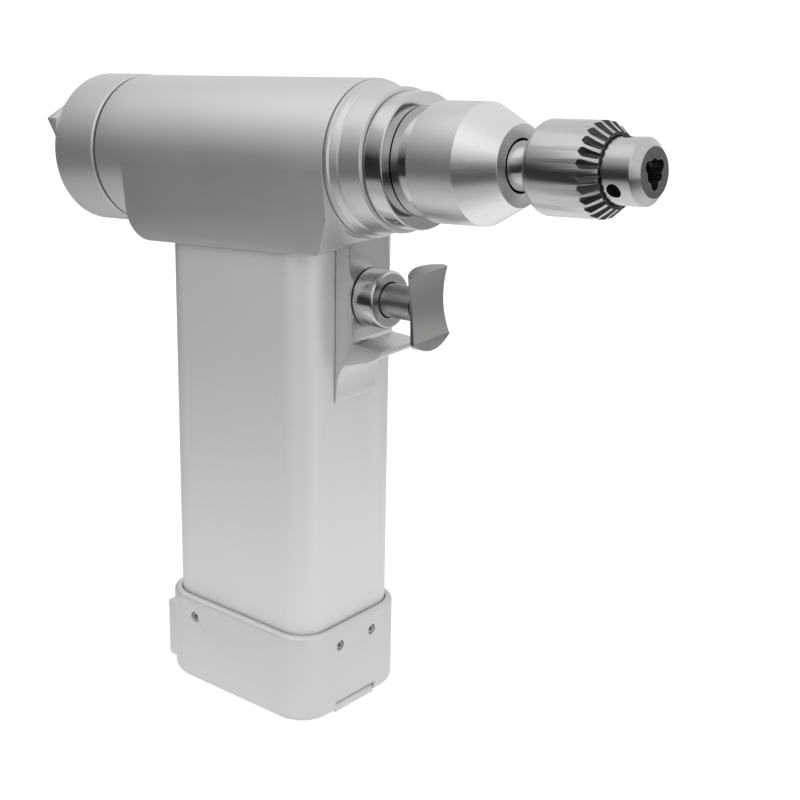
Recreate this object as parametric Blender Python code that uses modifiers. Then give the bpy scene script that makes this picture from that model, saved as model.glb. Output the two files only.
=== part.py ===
"""Surgical power drill: a battery pistol drill with a key chuck, in separate pieces.

Metres, +Z up. The origin is the centre of the flat foot. The drill points along +X,
and its barrel rises by BARREL_PITCH. Run it with Blender 4.5.
"""
import math

import bmesh
import bpy
from mathutils import Matrix, Vector

MM = 0.001

# Facets of a full turn
FINE = 40                  # pieces seen from outside
COARSE = 24                # pieces inside
SMALL = 16                 # pins and small holes

# Clearances
SEAM = 0.3 * MM            # between pieces that meet at a visible joint
SEAT = 0.25 * MM           # between a piece and the bore or shaft that carries it
THROAT = 0.45 * MM         # between the neck of the chuck and the nose around it

# Barrel line: its root is where the line passes above the back of the foot
BARREL_ROOT_X = -29.5 * MM
BARREL_ROOT_Z = 156.1 * MM
BARREL_PITCH = math.radians(6.9)
BARREL_RADIUS = 21.0 * MM
BARREL_WALL = 2.8 * MM
BARREL_BACK = -23.4 * MM
BARREL_FRONT = 63.8 * MM
BARREL_EDGE = 0.8 * MM

# Saddle under the barrel, measured from the barrel line
SADDLE_DEPTH = 22.2 * MM
SADDLE_BACK = -12.7 * MM
SADDLE_BACK_ROUND = 8.5 * MM
SADDLE_FRONT = 63.5 * MM
SADDLE_FRONT_SLOPE = 3.6 * MM
SADDLE_FRONT_RISE = 9.5 * MM
SADDLE_ROOM_HALF_WIDTH = 14.5 * MM
SADDLE_ROOM_HALF_LENGTH = 19.0 * MM

# Rear selector knob
KNOB_PROUD = 0.3 * MM
KNOB_LENGTH = 16.6 * MM
KNOB_WALL = 3.0 * MM
KNOB_SEAM = 0.9 * MM
KNOB_EDGE = 1.2 * MM
KNOB_HUB_WALL = 2.8 * MM
GRIP_HEIGHT = 3.9 * MM
GRIP_PROUD = 0.7 * MM
GRIP_HALF_WIDTH = 5.4 * MM
GRIP_ANGLE = math.radians(30.0)
BOSS_RADIUS = 5.5 * MM

# Rear plate and motor
REAR_PLATE_THICK = 5.0 * MM
REAR_PLATE_INSET = 0.9 * MM
MOTOR_LENGTH = 56.0 * MM
MOTOR_WALL = 1.4 * MM
MOTOR_FACE = 2.2 * MM
STATOR_WALL = 6.5 * MM
STATOR_LENGTH = 38.0 * MM
STATOR_INSET = 8.0 * MM
STATOR_SLOTS = 9
STATOR_SLOT_WIDTH = 2.4 * MM
STATOR_SLOT_DEPTH = 4.2 * MM
AIR_GAP = 0.8 * MM
ROTOR_SHAFT = 2.0 * MM

# Planet gears
GEAR_MODULE = 0.8 * MM
SUN_TEETH = 12
PLANET_TEETH = 12
RING_TEETH = SUN_TEETH + 2 * PLANET_TEETH
PLANETS = 3
PRESSURE_ANGLE = math.radians(25.0)
TOOTH_ADDENDUM = 0.75      # in modules
TOOTH_DEDENDUM = 1.10      # in modules
BACKLASH = 0.12 * MM
GEAR_WIDTH = 10.5 * MM
GEAR_GAP = 1.2 * MM
RING_LENGTH = 15.5 * MM
PLANET_PIN = 1.6 * MM
CARRIER_RADIUS = 13.0 * MM
CARRIER_THICK = 3.6 * MM

# Nose: flange, polished ring and collar
FLANGE_STEP = 0.3 * MM
FLANGE_RIM = 0.9 * MM
FLANGE_SHOULDER_STEP = 1.5 * MM
FLANGE_SHOULDER_AT = 3.3 * MM
FLANGE_LIP_STEP = 2.1 * MM
FLANGE_LENGTH = 10.6 * MM
FLANGE_LIP_WIDTH = 0.9 * MM
FLANGE_SPIGOT = 6.5 * MM
FLANGE_BORE = 14.0 * MM
RING_STEP = 3.2 * MM
RING_FRONT = 80.7 * MM
RING_EDGE = 0.5 * MM
NECK_RADIUS = 14.3 * MM
NECK_LENGTH = 5.8 * MM
COLLAR_STEP = 1.3 * MM
COLLAR_EDGE = 0.4 * MM
CONE_START = 101.2 * MM
NOSE_FRONT = 111.4 * MM
NOSE_RADIUS = 10.4 * MM
NOSE_SPIGOT = 10.6 * MM
NOSE_LIP = 4.6 * MM

# Spindle and its bearings
SPINDLE_RADIUS = 6.0 * MM
SPINDLE_TANG = 4.0 * MM
TANG_LENGTH = 12.4 * MM
RACE_THICK = 1.5 * MM
BALL_SPACE = 2.6 * MM
CAGE_THICK = 1.2 * MM
BEARING_WIDTH = 6.2 * MM
BEARING_BACK_AT = 62.3 * MM
BEARING_FRONT_AT = 96.0 * MM
SEAL_WIDTH = 1.8 * MM

# Chuck, measured along the barrel line
CHUCK_NECK = 6.4 * MM
CHUCK_NECK_WAIST = 0.6 * MM
NECK_STEPS = 5
CHUCK_FACE = 149.7 * MM
CHUCK_FACE_STEP = 2.1 * MM
CHUCK_NOSE_RADIUS = 8.2 * MM
CHUCK_NOSE_CHAMFER = 2.0 * MM
CHUCK_MOUTH = 3.1 * MM
MOUTH_LOBE = 1.3 * MM
MOUTH_LOBE_AT = 2.1 * MM
CHUCK_MOUTH_DEPTH = 13.5 * MM
SLEEVE_BACK = 119.3 * MM
SLEEVE_RADIUS = 11.8 * MM
SLEEVE_WALL = 1.35 * MM
SLEEVE_BACK_STEP = 0.7 * MM
SLEEVE_BACK_CHAMFER = 1.1 * MM
SLEEVE_TEETH_AT = 136.4 * MM
SLEEVE_FRONT = 139.8 * MM
SLEEVE_FRONT_STEP = 2.6 * MM
SLEEVE_TEETH = 24
SLEEVE_TOOTH_DEPTH = 0.6 * MM     # at the front, where the teeth end
SLEEVE_GAP_BACK = 1.4 * MM        # from the cone's edge back to the gaps' points
SLEEVE_GAP_DEEPEST = 0.5 * MM     # from the cone's edge forward to the gaps' deepest part
SLEEVE_GAP_DEPTH = 1.6 * MM       # there, below the sleeve's outside
SLEEVE_GAP_SHARE = 0.96           # of the pitch, just above the teeth
SLEEVE_TURN = math.radians(0.7)
NUT_BACK = 132.3 * MM
NUT_LENGTH = 3.7 * MM
NUT_STEP = 0.85 * MM
KEY_HOLE_RADIUS = 1.95 * MM
KEY_HOLE_AT = 142.9 * MM
KEY_HOLE_FLOOR = 5.4 * MM
KEY_HOLE_ANGLE = math.radians(-25.5)
JAWS = 3
JAW_RADIUS = 1.45 * MM
JAW_SLOPE = math.radians(12.0)
JAW_LENGTH = 19.0 * MM
JAW_INSET = 3.4 * MM
JAW_AXIS_AT_FACE = 2.75 * MM
JAW_GAP = 0.12 * MM
GRIP_RADIUS = 3.3 * MM

# Handle
HANDLE_X = 0.2 * MM
HANDLE_HALF_LENGTH = 27.0 * MM
HANDLE_HALF_WIDTH = 20.0 * MM
HANDLE_ROUND = 8.3 * MM
HANDLE_WALL = 2.4 * MM

# Battery base
BASE_FLARE = 2.1 * MM
BASE_FLARE_ROUND = 1.5 * MM
BASE_HEIGHT = 27.8 * MM
RIM_ROUND = 1.3 * MM
BASE_WALL = 2.6 * MM
BASE_FLOOR = 3.0 * MM
BASE_CHAMFER = 3.2 * MM
GASKET_WIDTH = 2.0 * MM
GASKET_HEIGHT = 0.7 * MM
FRAME_BOTTOM = 12.0 * MM
FRAME_HEIGHT = 11.35 * MM
FRAME_WALL = 2.0 * MM
CELL_SLACK = 0.5 * MM
CELL_LENGTH = 50.0 * MM
CAP_HEIGHT = 6.0 * MM
CAP_OVERHANG = 3.2 * MM
TERMINAL_HEIGHT = 7.0 * MM
TERMINAL_ROUND = 5.0 * MM
NOTCH_HALF_WIDTH = 8.6 * MM
NOTCH_HEIGHT = 4.0 * MM
NOTCH_DEPTH = 2.0 * MM
TAB_HEIGHT = 2.4 * MM
TAB_INSET = 0.7 * MM

# Base screws
SCREW_HEAD = 1.35 * MM
SCREW_HEAD_HEIGHT = 1.1 * MM
SCREW_SUNK = 0.5 * MM
SCREW_SHANK = 0.8 * MM
SCREW_LENGTH = 4.6 * MM
SCREW_SOCKET = 0.7 * MM
SCREW_SOCKET_DEPTH = 0.7 * MM
SCREW_Z = 21.8 * MM
SCREW_FRONT_Y = 6.9 * MM
SCREW_SIDE_X = -14.9 * MM

# Rear latch
LATCH_HALF_WIDTH = 15.0 * MM
LATCH_BOTTOM = 0.8 * MM
LATCH_HEIGHT = 18.0 * MM
LATCH_GAP = 0.8 * MM
LATCH_THICK = 5.2 * MM
LATCH_WALL = 1.4 * MM
LATCH_ROUND = 2.2 * MM
LATCH_PIN = 1.0 * MM
LATCH_PIN_UP = 3.4 * MM
LATCH_PIN_OUT = 2.6 * MM
EAR_THICK = 2.4 * MM
EAR_HEIGHT = 3.2 * MM

# Front neck and trigger; the trigger line rises by TRIGGER_PITCH
NECK_BLOCK_FRONT = 32.8 * MM
NECK_BLOCK_HALF_WIDTH = 8.2 * MM
NECK_BLOCK_TOP = 146.0 * MM
NECK_BLOCK_TIP = 96.0 * MM
NECK_BLOCK_SWEEP = [(0.58, 0.91), (0.30, 0.76), (0.15, 0.51), (0.06, 0.22), (0.04, 0.0)]
SHELF_TOP = 114.3 * MM
SHELF_FRONT = 43.2 * MM
SHELF_THICK = 1.5 * MM
SHELF_ROOT = 6.0 * MM
SHELF_KNEE = 3.7 * MM
TRIGGER_Z = 125.8 * MM
TRIGGER_PITCH = math.radians(4.0)
BUSH_RADIUS = 7.9 * MM
BUSH_LENGTH = 7.0 * MM
BUSH_SPIGOT = 6.4 * MM
BUSH_SPIGOT_LENGTH = 8.6 * MM
BUSH_EDGE = 0.6 * MM
STEM_RADIUS = 4.6 * MM
STEM_FLANGE = 6.0 * MM
STEM_FLANGE_WIDTH = 2.0 * MM
STEM_TAIL = 2.4 * MM
STEM_TAIL_LENGTH = 8.0 * MM
TRIGGER_TRAVEL = 7.0 * MM
PAD_FRONT = 20.9 * MM
PAD_HALF_WIDTH = 7.5 * MM
PAD_TOP = 9.6 * MM
PAD_TOP_RISE = 1.2 * MM
PAD_BOTTOM = 8.9 * MM
PAD_BOTTOM_ARCH = 2.9 * MM
PAD_WAIST = 1.0 * MM
PAD_HOLLOW = 1.0 * MM
PAD_EDGE = 1.3 * MM
PAD_MIDDLE = 3.8 * MM
SPRING_RADIUS = 4.2 * MM
SPRING_WIRE = 0.45 * MM
SPRING_LENGTH = 13.0 * MM
SPRING_TURNS = 5
SPRING_STEPS = 8
SWITCH_LENGTH = 17.0 * MM
SWITCH_HALF_HEIGHT = 11.0 * MM
BOARD_THICK = 1.6 * MM
BOARD_HEIGHT = 34.0 * MM

# Lengths that follow from the sizes above
BARREL_BORE = BARREL_RADIUS - BARREL_WALL
KNOB_RADIUS = BARREL_RADIUS + KNOB_PROUD
GRIP_REACH = KNOB_RADIUS + GRIP_PROUD
FLANGE_RADIUS = BARREL_RADIUS - FLANGE_STEP
FLANGE_SHOULDER = BARREL_RADIUS - FLANGE_SHOULDER_STEP
FLANGE_LIP = BARREL_RADIUS - FLANGE_LIP_STEP
RING_RADIUS = BARREL_RADIUS - RING_STEP
COLLAR_RADIUS = NECK_RADIUS + COLLAR_STEP
BASE_HALF_LENGTH = HANDLE_HALF_LENGTH + BASE_FLARE
BASE_HALF_WIDTH = HANDLE_HALF_WIDTH + BASE_FLARE
BASE_ROUND = HANDLE_ROUND + BASE_FLARE_ROUND
CELL_RADIUS = 0.5 * (HANDLE_HALF_WIDTH - HANDLE_WALL) - CELL_SLACK
CELL_PITCH = 2.0 * (CELL_RADIUS + SEAM)
CAP_HALF_WIDTH = 0.5 * CELL_PITCH + CELL_RADIUS - SEAM
CAP_HALF_LENGTH = CAP_HALF_WIDTH + CAP_OVERHANG
SLEEVE_BACK_RADIUS = SLEEVE_RADIUS - SLEEVE_BACK_STEP
SLEEVE_FRONT_RADIUS = SLEEVE_RADIUS - SLEEVE_FRONT_STEP
CHUCK_CORE_RADIUS = SLEEVE_RADIUS - SLEEVE_WALL - SEAT
NUT_RADIUS = CHUCK_CORE_RADIUS - NUT_STEP
CHUCK_FACE_RADIUS = CHUCK_NOSE_RADIUS - CHUCK_FACE_STEP
AXIS_ROOT = Vector((BARREL_ROOT_X, 0.0, BARREL_ROOT_Z))
KNOB_FRONT = BARREL_BACK - KNOB_SEAM
KNOB_BACK = KNOB_FRONT - KNOB_LENGTH
PLATE_BACK = BARREL_BACK + REAR_PLATE_INSET
PLATE_FRONT = PLATE_BACK + REAR_PLATE_THICK
MOTOR_BACK = PLATE_FRONT + SEAM
MOTOR_FRONT = MOTOR_BACK + MOTOR_LENGTH
CORE_RADIUS = BARREL_BORE - SEAT
STATOR_RADIUS = CORE_RADIUS - MOTOR_WALL - SEAT
STATOR_BORE = STATOR_RADIUS - STATOR_WALL
RING_GEAR_BACK = MOTOR_FRONT + SEAM
GEARS_BACK = MOTOR_FRONT + GEAR_GAP + SEAM
GEARS_FRONT = GEARS_BACK + GEAR_WIDTH
GEAR_CENTRES = 0.5 * GEAR_MODULE * (SUN_TEETH + PLANET_TEETH)
CARRIER_BACK = GEARS_FRONT + SEAM
CARRIER_FRONT = CARRIER_BACK + CARRIER_THICK
FLANGE_BACK = BARREL_FRONT + SEAM
FLANGE_FRONT = FLANGE_BACK + FLANGE_LENGTH
RING_BACK = FLANGE_FRONT + SEAM
COLLAR_BACK = RING_FRONT + SEAM
RACE_IN = SPINDLE_RADIUS + SEAT
RACE_MID = RACE_IN + RACE_THICK
RACE_OUT = RACE_MID + BALL_SPACE
BEARING_RADIUS = RACE_OUT + RACE_THICK
CHUCK_BACK = NOSE_FRONT - SEAM
NUT_FRONT = NUT_BACK + NUT_LENGTH
HANDLE_FRONT = HANDLE_X + HANDLE_HALF_LENGTH
NECK_BLOCK_BACK = HANDLE_FRONT + SEAM
BASE_CAVITY = (BASE_HALF_LENGTH - BASE_WALL, BASE_HALF_WIDTH - BASE_WALL)
LEDGE = FRAME_BOTTOM + FRAME_HEIGHT
GASKET_BOTTOM = LEDGE + SEAM
HANDLE_BOTTOM = GASKET_BOTTOM + GASKET_HEIGHT + SEAM
CELL_BOTTOM = BASE_FLOOR + SEAM
CAP_BOTTOM = CELL_BOTTOM + CELL_LENGTH + SEAM
TERMINAL_BOTTOM = CAP_BOTTOM + CAP_HEIGHT + SEAM
BOARD_BOTTOM = TERMINAL_BOTTOM + TERMINAL_HEIGHT + SEAM


def clear_scene():
    """Remove every object, mesh, curve and material of the scene."""
    for obj in list(bpy.data.objects):
        bpy.data.objects.remove(obj, do_unlink=True)
    for group in (bpy.data.meshes, bpy.data.curves, bpy.data.materials):
        for item in list(group):
            group.remove(item)


clear_scene()
PARTS = bpy.data.collections.new("surgical_power_drill")
CUTTERS = bpy.data.collections.new("surgical_power_drill_cutters")
bpy.context.scene.collection.children.link(PARTS)
bpy.context.scene.collection.children.link(CUTTERS)


def finish(name, colour, roughness, metallic):
    """Return a Principled material of one colour."""
    made = bpy.data.materials.new(name)
    made.use_nodes = True
    shader = made.node_tree.nodes["Principled BSDF"]
    shader.inputs["Base Color"].default_value = (*colour, 1.0)
    shader.inputs["Roughness"].default_value = roughness
    shader.inputs["Metallic"].default_value = metallic
    return made


LOOKS = {
    "satin": ((0.62, 0.63, 0.64), 0.42, 1.0),
    "polished": ((0.60, 0.61, 0.62), 0.12, 1.0),
    "chuck": ((0.52, 0.53, 0.54), 0.24, 1.0),
    "steel": ((0.42, 0.43, 0.43), 0.32, 1.0),
    "trigger": ((0.30, 0.31, 0.30), 0.38, 1.0),
    "handle": ((0.62, 0.63, 0.63), 0.50, 0.6),
    "dark": ((0.05, 0.05, 0.055), 0.55, 0.0),
    "rubber": ((0.02, 0.02, 0.02), 0.80, 0.0),
    "board": ((0.03, 0.16, 0.08), 0.50, 0.0),
    "cell": ((0.10, 0.20, 0.42), 0.40, 0.0),
    "magnet": ((0.22, 0.22, 0.23), 0.40, 1.0),
    "copper": ((0.60, 0.30, 0.12), 0.40, 1.0),
    "brass": ((0.62, 0.46, 0.18), 0.35, 1.0),
}


def place(obj, parent=None, at=(0.0, 0.0, 0.0), turn=(0.0, 0.0, 0.0), cutter=False):
    """Link an object into its collection and set its parent, location and rotation."""
    (CUTTERS if cutter else PARTS).objects.link(obj)
    obj.parent = parent
    obj.location = at
    obj.rotation_euler = turn
    if cutter:
        obj.hide_render = True
        obj.display_type = "WIRE"
    return obj


def dress(obj, look):
    """Give a piece its own material."""
    obj.data.materials.clear()
    obj.data.materials.append(finish(obj.name + "_finish", *LOOKS[look]))
    return obj


def bake(obj):
    """Turn an object's modifiers into its mesh, weld it and point its faces outwards."""
    bpy.context.view_layer.update()
    graph = bpy.context.evaluated_depsgraph_get()
    mesh = bpy.data.meshes.new_from_object(obj.evaluated_get(graph))
    work = bmesh.new()
    work.from_mesh(mesh)
    bmesh.ops.remove_doubles(work, verts=work.verts, dist=1e-7)
    bmesh.ops.recalc_face_normals(work, faces=work.faces)
    work.to_mesh(mesh)
    work.free()
    mesh.name = obj.name
    obj.modifiers.clear()
    obj.data = mesh
    soften(mesh)
    return obj


def soften(mesh, angle=32.0):
    """Shade a mesh smooth but for its sharp edges."""
    mesh.shade_smooth()
    mesh.set_sharp_from_angle(angle=math.radians(angle))


def turned(name, profile, parent, look=None, steps=48, closed=True, at=(0, 0, 0), turn=(0, 0, 0)):
    """Turn a profile of (radius, height) points about local Z, outer side top to bottom."""
    mesh = bpy.data.meshes.new(name)
    count = len(profile)
    edges = [(i, i + 1) for i in range(count - 1)] + ([(count - 1, 0)] if closed else [])
    mesh.from_pydata([(radius, 0.0, height) for radius, height in profile], edges, [])
    obj = place(bpy.data.objects.new(name, mesh), parent, at, turn, cutter=look is None)
    screw = obj.modifiers.new("turning", "SCREW")
    screw.axis = "Z"
    screw.angle = 2.0 * math.pi
    screw.steps = screw.render_steps = steps
    screw.use_merge_vertices = True
    screw.merge_threshold = 1e-6
    bake(obj)
    return dress(obj, look) if look else obj


def slab(name, outline, low, high, parent=None, look=None, at=(0, 0, 0), turn=(0, 0, 0), rounding=()):
    """Thicken a flat outline of local (x, y) points from one local height to another.

    rounding lists (test of a corner's place, width, segments) for the edges between such corners.
    """
    curve = bpy.data.curves.new(name, "CURVE")
    curve.dimensions = "2D"
    curve.fill_mode = "BOTH"
    curve.extrude = 0.5 * (high - low)
    spline = curve.splines.new("POLY")
    spline.points.add(len(outline) - 1)
    for point, (x, y) in zip(spline.points, outline):
        point.co = (x, y, 0.0, 1.0)
    spline.use_cyclic_u = True
    source = bpy.data.objects.new(name + "_outline", curve)
    bpy.context.scene.collection.objects.link(source)
    bpy.context.view_layer.update()
    graph = bpy.context.evaluated_depsgraph_get()
    mesh = bpy.data.meshes.new_from_object(source.evaluated_get(graph))
    bpy.data.objects.remove(source)
    bpy.data.curves.remove(curve)
    work = bmesh.new()
    work.from_mesh(mesh)
    bmesh.ops.remove_doubles(work, verts=work.verts, dist=1e-7)
    bmesh.ops.dissolve_limit(work, angle_limit=math.radians(0.5), verts=work.verts, edges=work.edges)
    bmesh.ops.translate(work, verts=work.verts, vec=(0.0, 0.0, 0.5 * (low + high)))
    bmesh.ops.recalc_face_normals(work, faces=work.faces)
    work.to_mesh(mesh)
    work.free()
    mesh.name = name
    return finished(name, mesh, parent, look, at, turn, rounding)


def finished(name, mesh, parent, look, at, turn, rounding):
    """Shade a mesh, place it as a piece or a cutter, and round the edges that are asked for."""
    soften(mesh)
    obj = place(bpy.data.objects.new(name, mesh), parent, at, turn, cutter=look is None)
    for number, (test, width, segments) in enumerate(rounding):
        group = obj.vertex_groups.new(name="rounded_%d" % (number + 1))
        group.add([vert.index for vert in mesh.vertices if test(vert.co)], 1.0, "REPLACE")
        bevel = obj.modifiers.new("rounding_%d" % (number + 1), "BEVEL")
        bevel.limit_method = "VGROUP"
        bevel.vertex_group = group.name
        bevel.width = width
        bevel.segments = segments
    return dress(obj, look) if look else obj


def at_height(height):
    """Return a test for corners at one local height."""
    return lambda place_: abs(place_.z - height) < 1e-6


def box(name, low, high, parent=None, look=None, at=(0, 0, 0), turn=(0, 0, 0), rounding=()):
    """Make a box between two corners."""
    middle = [0.5 * (first + second) for first, second in zip(low, high)]
    size = [second - first for first, second in zip(low, high)]
    work = bmesh.new()
    bmesh.ops.create_cube(work, size=1.0,
                          matrix=Matrix.Translation(middle) @ Matrix.Diagonal((*size, 1.0)))
    mesh = bpy.data.meshes.new(name)
    work.to_mesh(mesh)
    work.free()
    return finished(name, mesh, parent, look, at, turn, rounding)


def rounded_outline(half_x, half_y, radius, centre_x=0.0, corner=7):
    """Return the points of a rounded rectangle."""
    points = []
    for sign_x, sign_y, start in ((1, 1, 0.0), (-1, 1, 90.0), (-1, -1, 180.0), (1, -1, 270.0)):
        for step in range(corner + 1):
            angle = math.radians(start + 90.0 * step / corner)
            points.append((centre_x + sign_x * (half_x - radius) + radius * math.cos(angle),
                           sign_y * (half_y - radius) + radius * math.sin(angle)))
    return points


def rod(name, radius, low, high, parent=None, look=None, steps=24, at=(0, 0, 0), turn=(0, 0, 0)):
    """Make a closed cylinder along local Z from one height to another."""
    work = bmesh.new()
    bmesh.ops.create_cone(work, cap_ends=True, segments=steps, radius1=radius, radius2=radius,
                          depth=high - low, matrix=Matrix.Translation((0, 0, 0.5 * (low + high))))
    mesh = bpy.data.meshes.new(name)
    work.to_mesh(mesh)
    work.free()
    return finished(name, mesh, parent, look, at, turn, ())


def boolean(obj, other, operation="DIFFERENCE"):
    """Cut, join or intersect a piece with a hidden body."""
    made = obj.modifiers.new(operation.lower(), "BOOLEAN")
    made.object = other
    made.operation = operation
    made.solver = "EXACT"
    return obj


def line_frame(name, root, pitch, parent=None):
    """Make an empty whose Z axis points forward and up by a pitch, its X axis downward."""
    empty = bpy.data.objects.new(name, None)
    empty.empty_display_size = 0.02
    PARTS.objects.link(empty)
    empty.parent = parent
    empty.location = root
    empty.rotation_euler = (0.0, 0.5 * math.pi - pitch, 0.0)
    return empty


def around(angle, radius):
    """Return local (x, y) at an angle from the near side (-Y) upward about the barrel line."""
    return Vector((-radius * math.sin(angle), -radius * math.cos(angle), 0.0))


UPRIGHT = (0.5 * math.pi, 0.0, 0.0)           # an outline's second coordinate becomes local Z
EDGEWISE = (0.5 * math.pi, 0.0, 0.5 * math.pi)    # its first coordinate becomes local Y as well
BARREL = line_frame("barrel_line", AXIS_ROOT, BARREL_PITCH)
BORE_DIRECTION = Vector((math.cos(BARREL_PITCH), 0.0, math.sin(BARREL_PITCH)))
TRIGGER_LINE = line_frame("trigger_line", (NECK_BLOCK_FRONT, 0.0, TRIGGER_Z), TRIGGER_PITCH)


def saddle_outline():
    """Return the saddle's side outline in local barrel (x down, z forward) coordinates."""
    points = [(0.0, SADDLE_BACK), (SADDLE_DEPTH - SADDLE_BACK_ROUND, SADDLE_BACK)]
    steps = 8
    for step in range(1, steps + 1):
        angle = 0.5 * math.pi * step / steps
        points.append((SADDLE_DEPTH - SADDLE_BACK_ROUND * (1.0 - math.sin(angle)),
                       SADDLE_BACK + SADDLE_BACK_ROUND * (1.0 - math.cos(angle))))
    points += [(SADDLE_DEPTH, SADDLE_FRONT - SADDLE_FRONT_SLOPE),
               (SADDLE_DEPTH - SADDLE_FRONT_RISE, SADDLE_FRONT), (0.0, SADDLE_FRONT)]
    return points


def make_housing():
    """Make the casting: barrel shell, saddle, front neck and shelf in one piece."""
    edge = BARREL_EDGE
    outer = BARREL_RADIUS
    housing = turned("main_housing", [
        (0.0, BARREL_FRONT), (outer, BARREL_FRONT), (outer, BARREL_BACK + edge),
        (outer - edge, BARREL_BACK), (0.0, BARREL_BACK)], BARREL, "satin", FINE, closed=False)
    saddle = slab("saddle_body", saddle_outline(), -BARREL_RADIUS, BARREL_RADIUS, BARREL,
                  turn=UPRIGHT)
    boolean(housing, saddle, "UNION")
    lean = math.tan(TRIGGER_PITCH)
    block = [(NECK_BLOCK_BACK, NECK_BLOCK_TOP),
             (NECK_BLOCK_FRONT - lean * (NECK_BLOCK_TOP - TRIGGER_Z), NECK_BLOCK_TOP),
             (NECK_BLOCK_FRONT - lean * (SHELF_TOP - TRIGGER_Z), SHELF_TOP),
             (SHELF_FRONT, SHELF_TOP),
             (SHELF_FRONT, SHELF_TOP - SHELF_THICK),
             (SHELF_FRONT - SHELF_KNEE, SHELF_TOP - 0.5 * (SHELF_THICK + SHELF_ROOT)),
             (NECK_BLOCK_FRONT, SHELF_TOP - SHELF_ROOT)]
    depth = NECK_BLOCK_FRONT - NECK_BLOCK_BACK
    drop = SHELF_TOP - SHELF_ROOT - NECK_BLOCK_TIP
    block += [(NECK_BLOCK_BACK + out * depth, NECK_BLOCK_TIP + up * drop)
              for out, up in NECK_BLOCK_SWEEP]
    block.append((NECK_BLOCK_BACK, NECK_BLOCK_TIP))
    neck = slab("front_neck_body", block, -NECK_BLOCK_HALF_WIDTH, NECK_BLOCK_HALF_WIDTH,
                turn=UPRIGHT)
    boolean(housing, neck, "UNION")
    boolean(housing, rod("barrel_bore", BARREL_BORE, BARREL_BACK - 5 * MM, BARREL_FRONT + 5 * MM,
                         BARREL, steps=FINE))
    middle = (HANDLE_X - BARREL_ROOT_X) / math.cos(BARREL_PITCH) - SADDLE_DEPTH * math.tan(BARREL_PITCH)
    boolean(housing, box("saddle_room",
                         (0.0, -SADDLE_ROOM_HALF_WIDTH, middle - SADDLE_ROOM_HALF_LENGTH),
                         (SADDLE_DEPTH + 8 * MM, SADDLE_ROOM_HALF_WIDTH,
                          middle + SADDLE_ROOM_HALF_LENGTH), BARREL))
    boolean(housing, rod("neck_hole", BUSH_SPIGOT + SEAT, -BUSH_SPIGOT_LENGTH - 4 * MM, 3 * MM,
                         TRIGGER_LINE, steps=COARSE))
    return housing


def make_rear():
    """Make the rear plate with its boss and the selector knob with its grip."""
    bore = ROTOR_SHAFT + SEAT
    boss_end = KNOB_BACK + KNOB_WALL + SEAM
    turned("rear_plate", [
        (CORE_RADIUS, PLATE_FRONT), (CORE_RADIUS, PLATE_BACK), (BOSS_RADIUS, PLATE_BACK),
        (BOSS_RADIUS, boss_end), (bore, boss_end), (bore, PLATE_FRONT)], BARREL, "steel", COARSE)
    hub = BOSS_RADIUS + SEAT
    inside = KNOB_RADIUS - KNOB_WALL
    floor = KNOB_BACK + KNOB_WALL
    knob = turned("rear_knob", [
        (0.0, floor), (hub, floor), (hub, PLATE_BACK - SEAM - KNOB_SEAM),
        (hub + KNOB_HUB_WALL, PLATE_BACK - SEAM - KNOB_SEAM), (hub + KNOB_HUB_WALL, floor),
        (inside, floor), (inside, KNOB_FRONT), (KNOB_RADIUS - BARREL_EDGE, KNOB_FRONT),
        (KNOB_RADIUS, KNOB_FRONT - BARREL_EDGE), (KNOB_RADIUS, KNOB_BACK + KNOB_EDGE),
        (KNOB_RADIUS - 0.3 * KNOB_EDGE, KNOB_BACK + 0.3 * KNOB_EDGE),
        (KNOB_RADIUS - KNOB_EDGE, KNOB_BACK), (0.0, KNOB_BACK)], BARREL, "satin", FINE, closed=False)
    boolean(knob, grip_body(), "UNION")
    return knob


def grip_body():
    """Make the pointed gable ridge that crosses the back of the knob."""
    ridge = KNOB_BACK - GRIP_HEIGHT
    root = KNOB_BACK + 0.5 * KNOB_EDGE
    shoulder = math.sqrt((KNOB_RADIUS - 0.4 * MM) ** 2 - GRIP_HALF_WIDTH ** 2)
    flat = [(GRIP_REACH, 0.0), (shoulder, GRIP_HALF_WIDTH), (-shoulder, GRIP_HALF_WIDTH),
            (-GRIP_REACH, 0.0), (-shoulder, -GRIP_HALF_WIDTH), (shoulder, -GRIP_HALF_WIDTH)]
    work = bmesh.new()
    for x, y in flat:
        work.verts.new((x, y, root))
    for x in (-GRIP_REACH, GRIP_REACH):
        work.verts.new((x, 0.0, ridge))
    bmesh.ops.convex_hull(work, input=work.verts)
    bmesh.ops.dissolve_limit(work, angle_limit=math.radians(1), verts=work.verts, edges=work.edges)
    bmesh.ops.recalc_face_normals(work, faces=work.faces)
    mesh = bpy.data.meshes.new("knob_grip_body")
    work.to_mesh(mesh)
    work.free()
    near = around(GRIP_ANGLE, 1.0)
    return place(bpy.data.objects.new("knob_grip_body", mesh), BARREL,
                 turn=(0, 0, math.atan2(near.y, near.x)), cutter=True)


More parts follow.
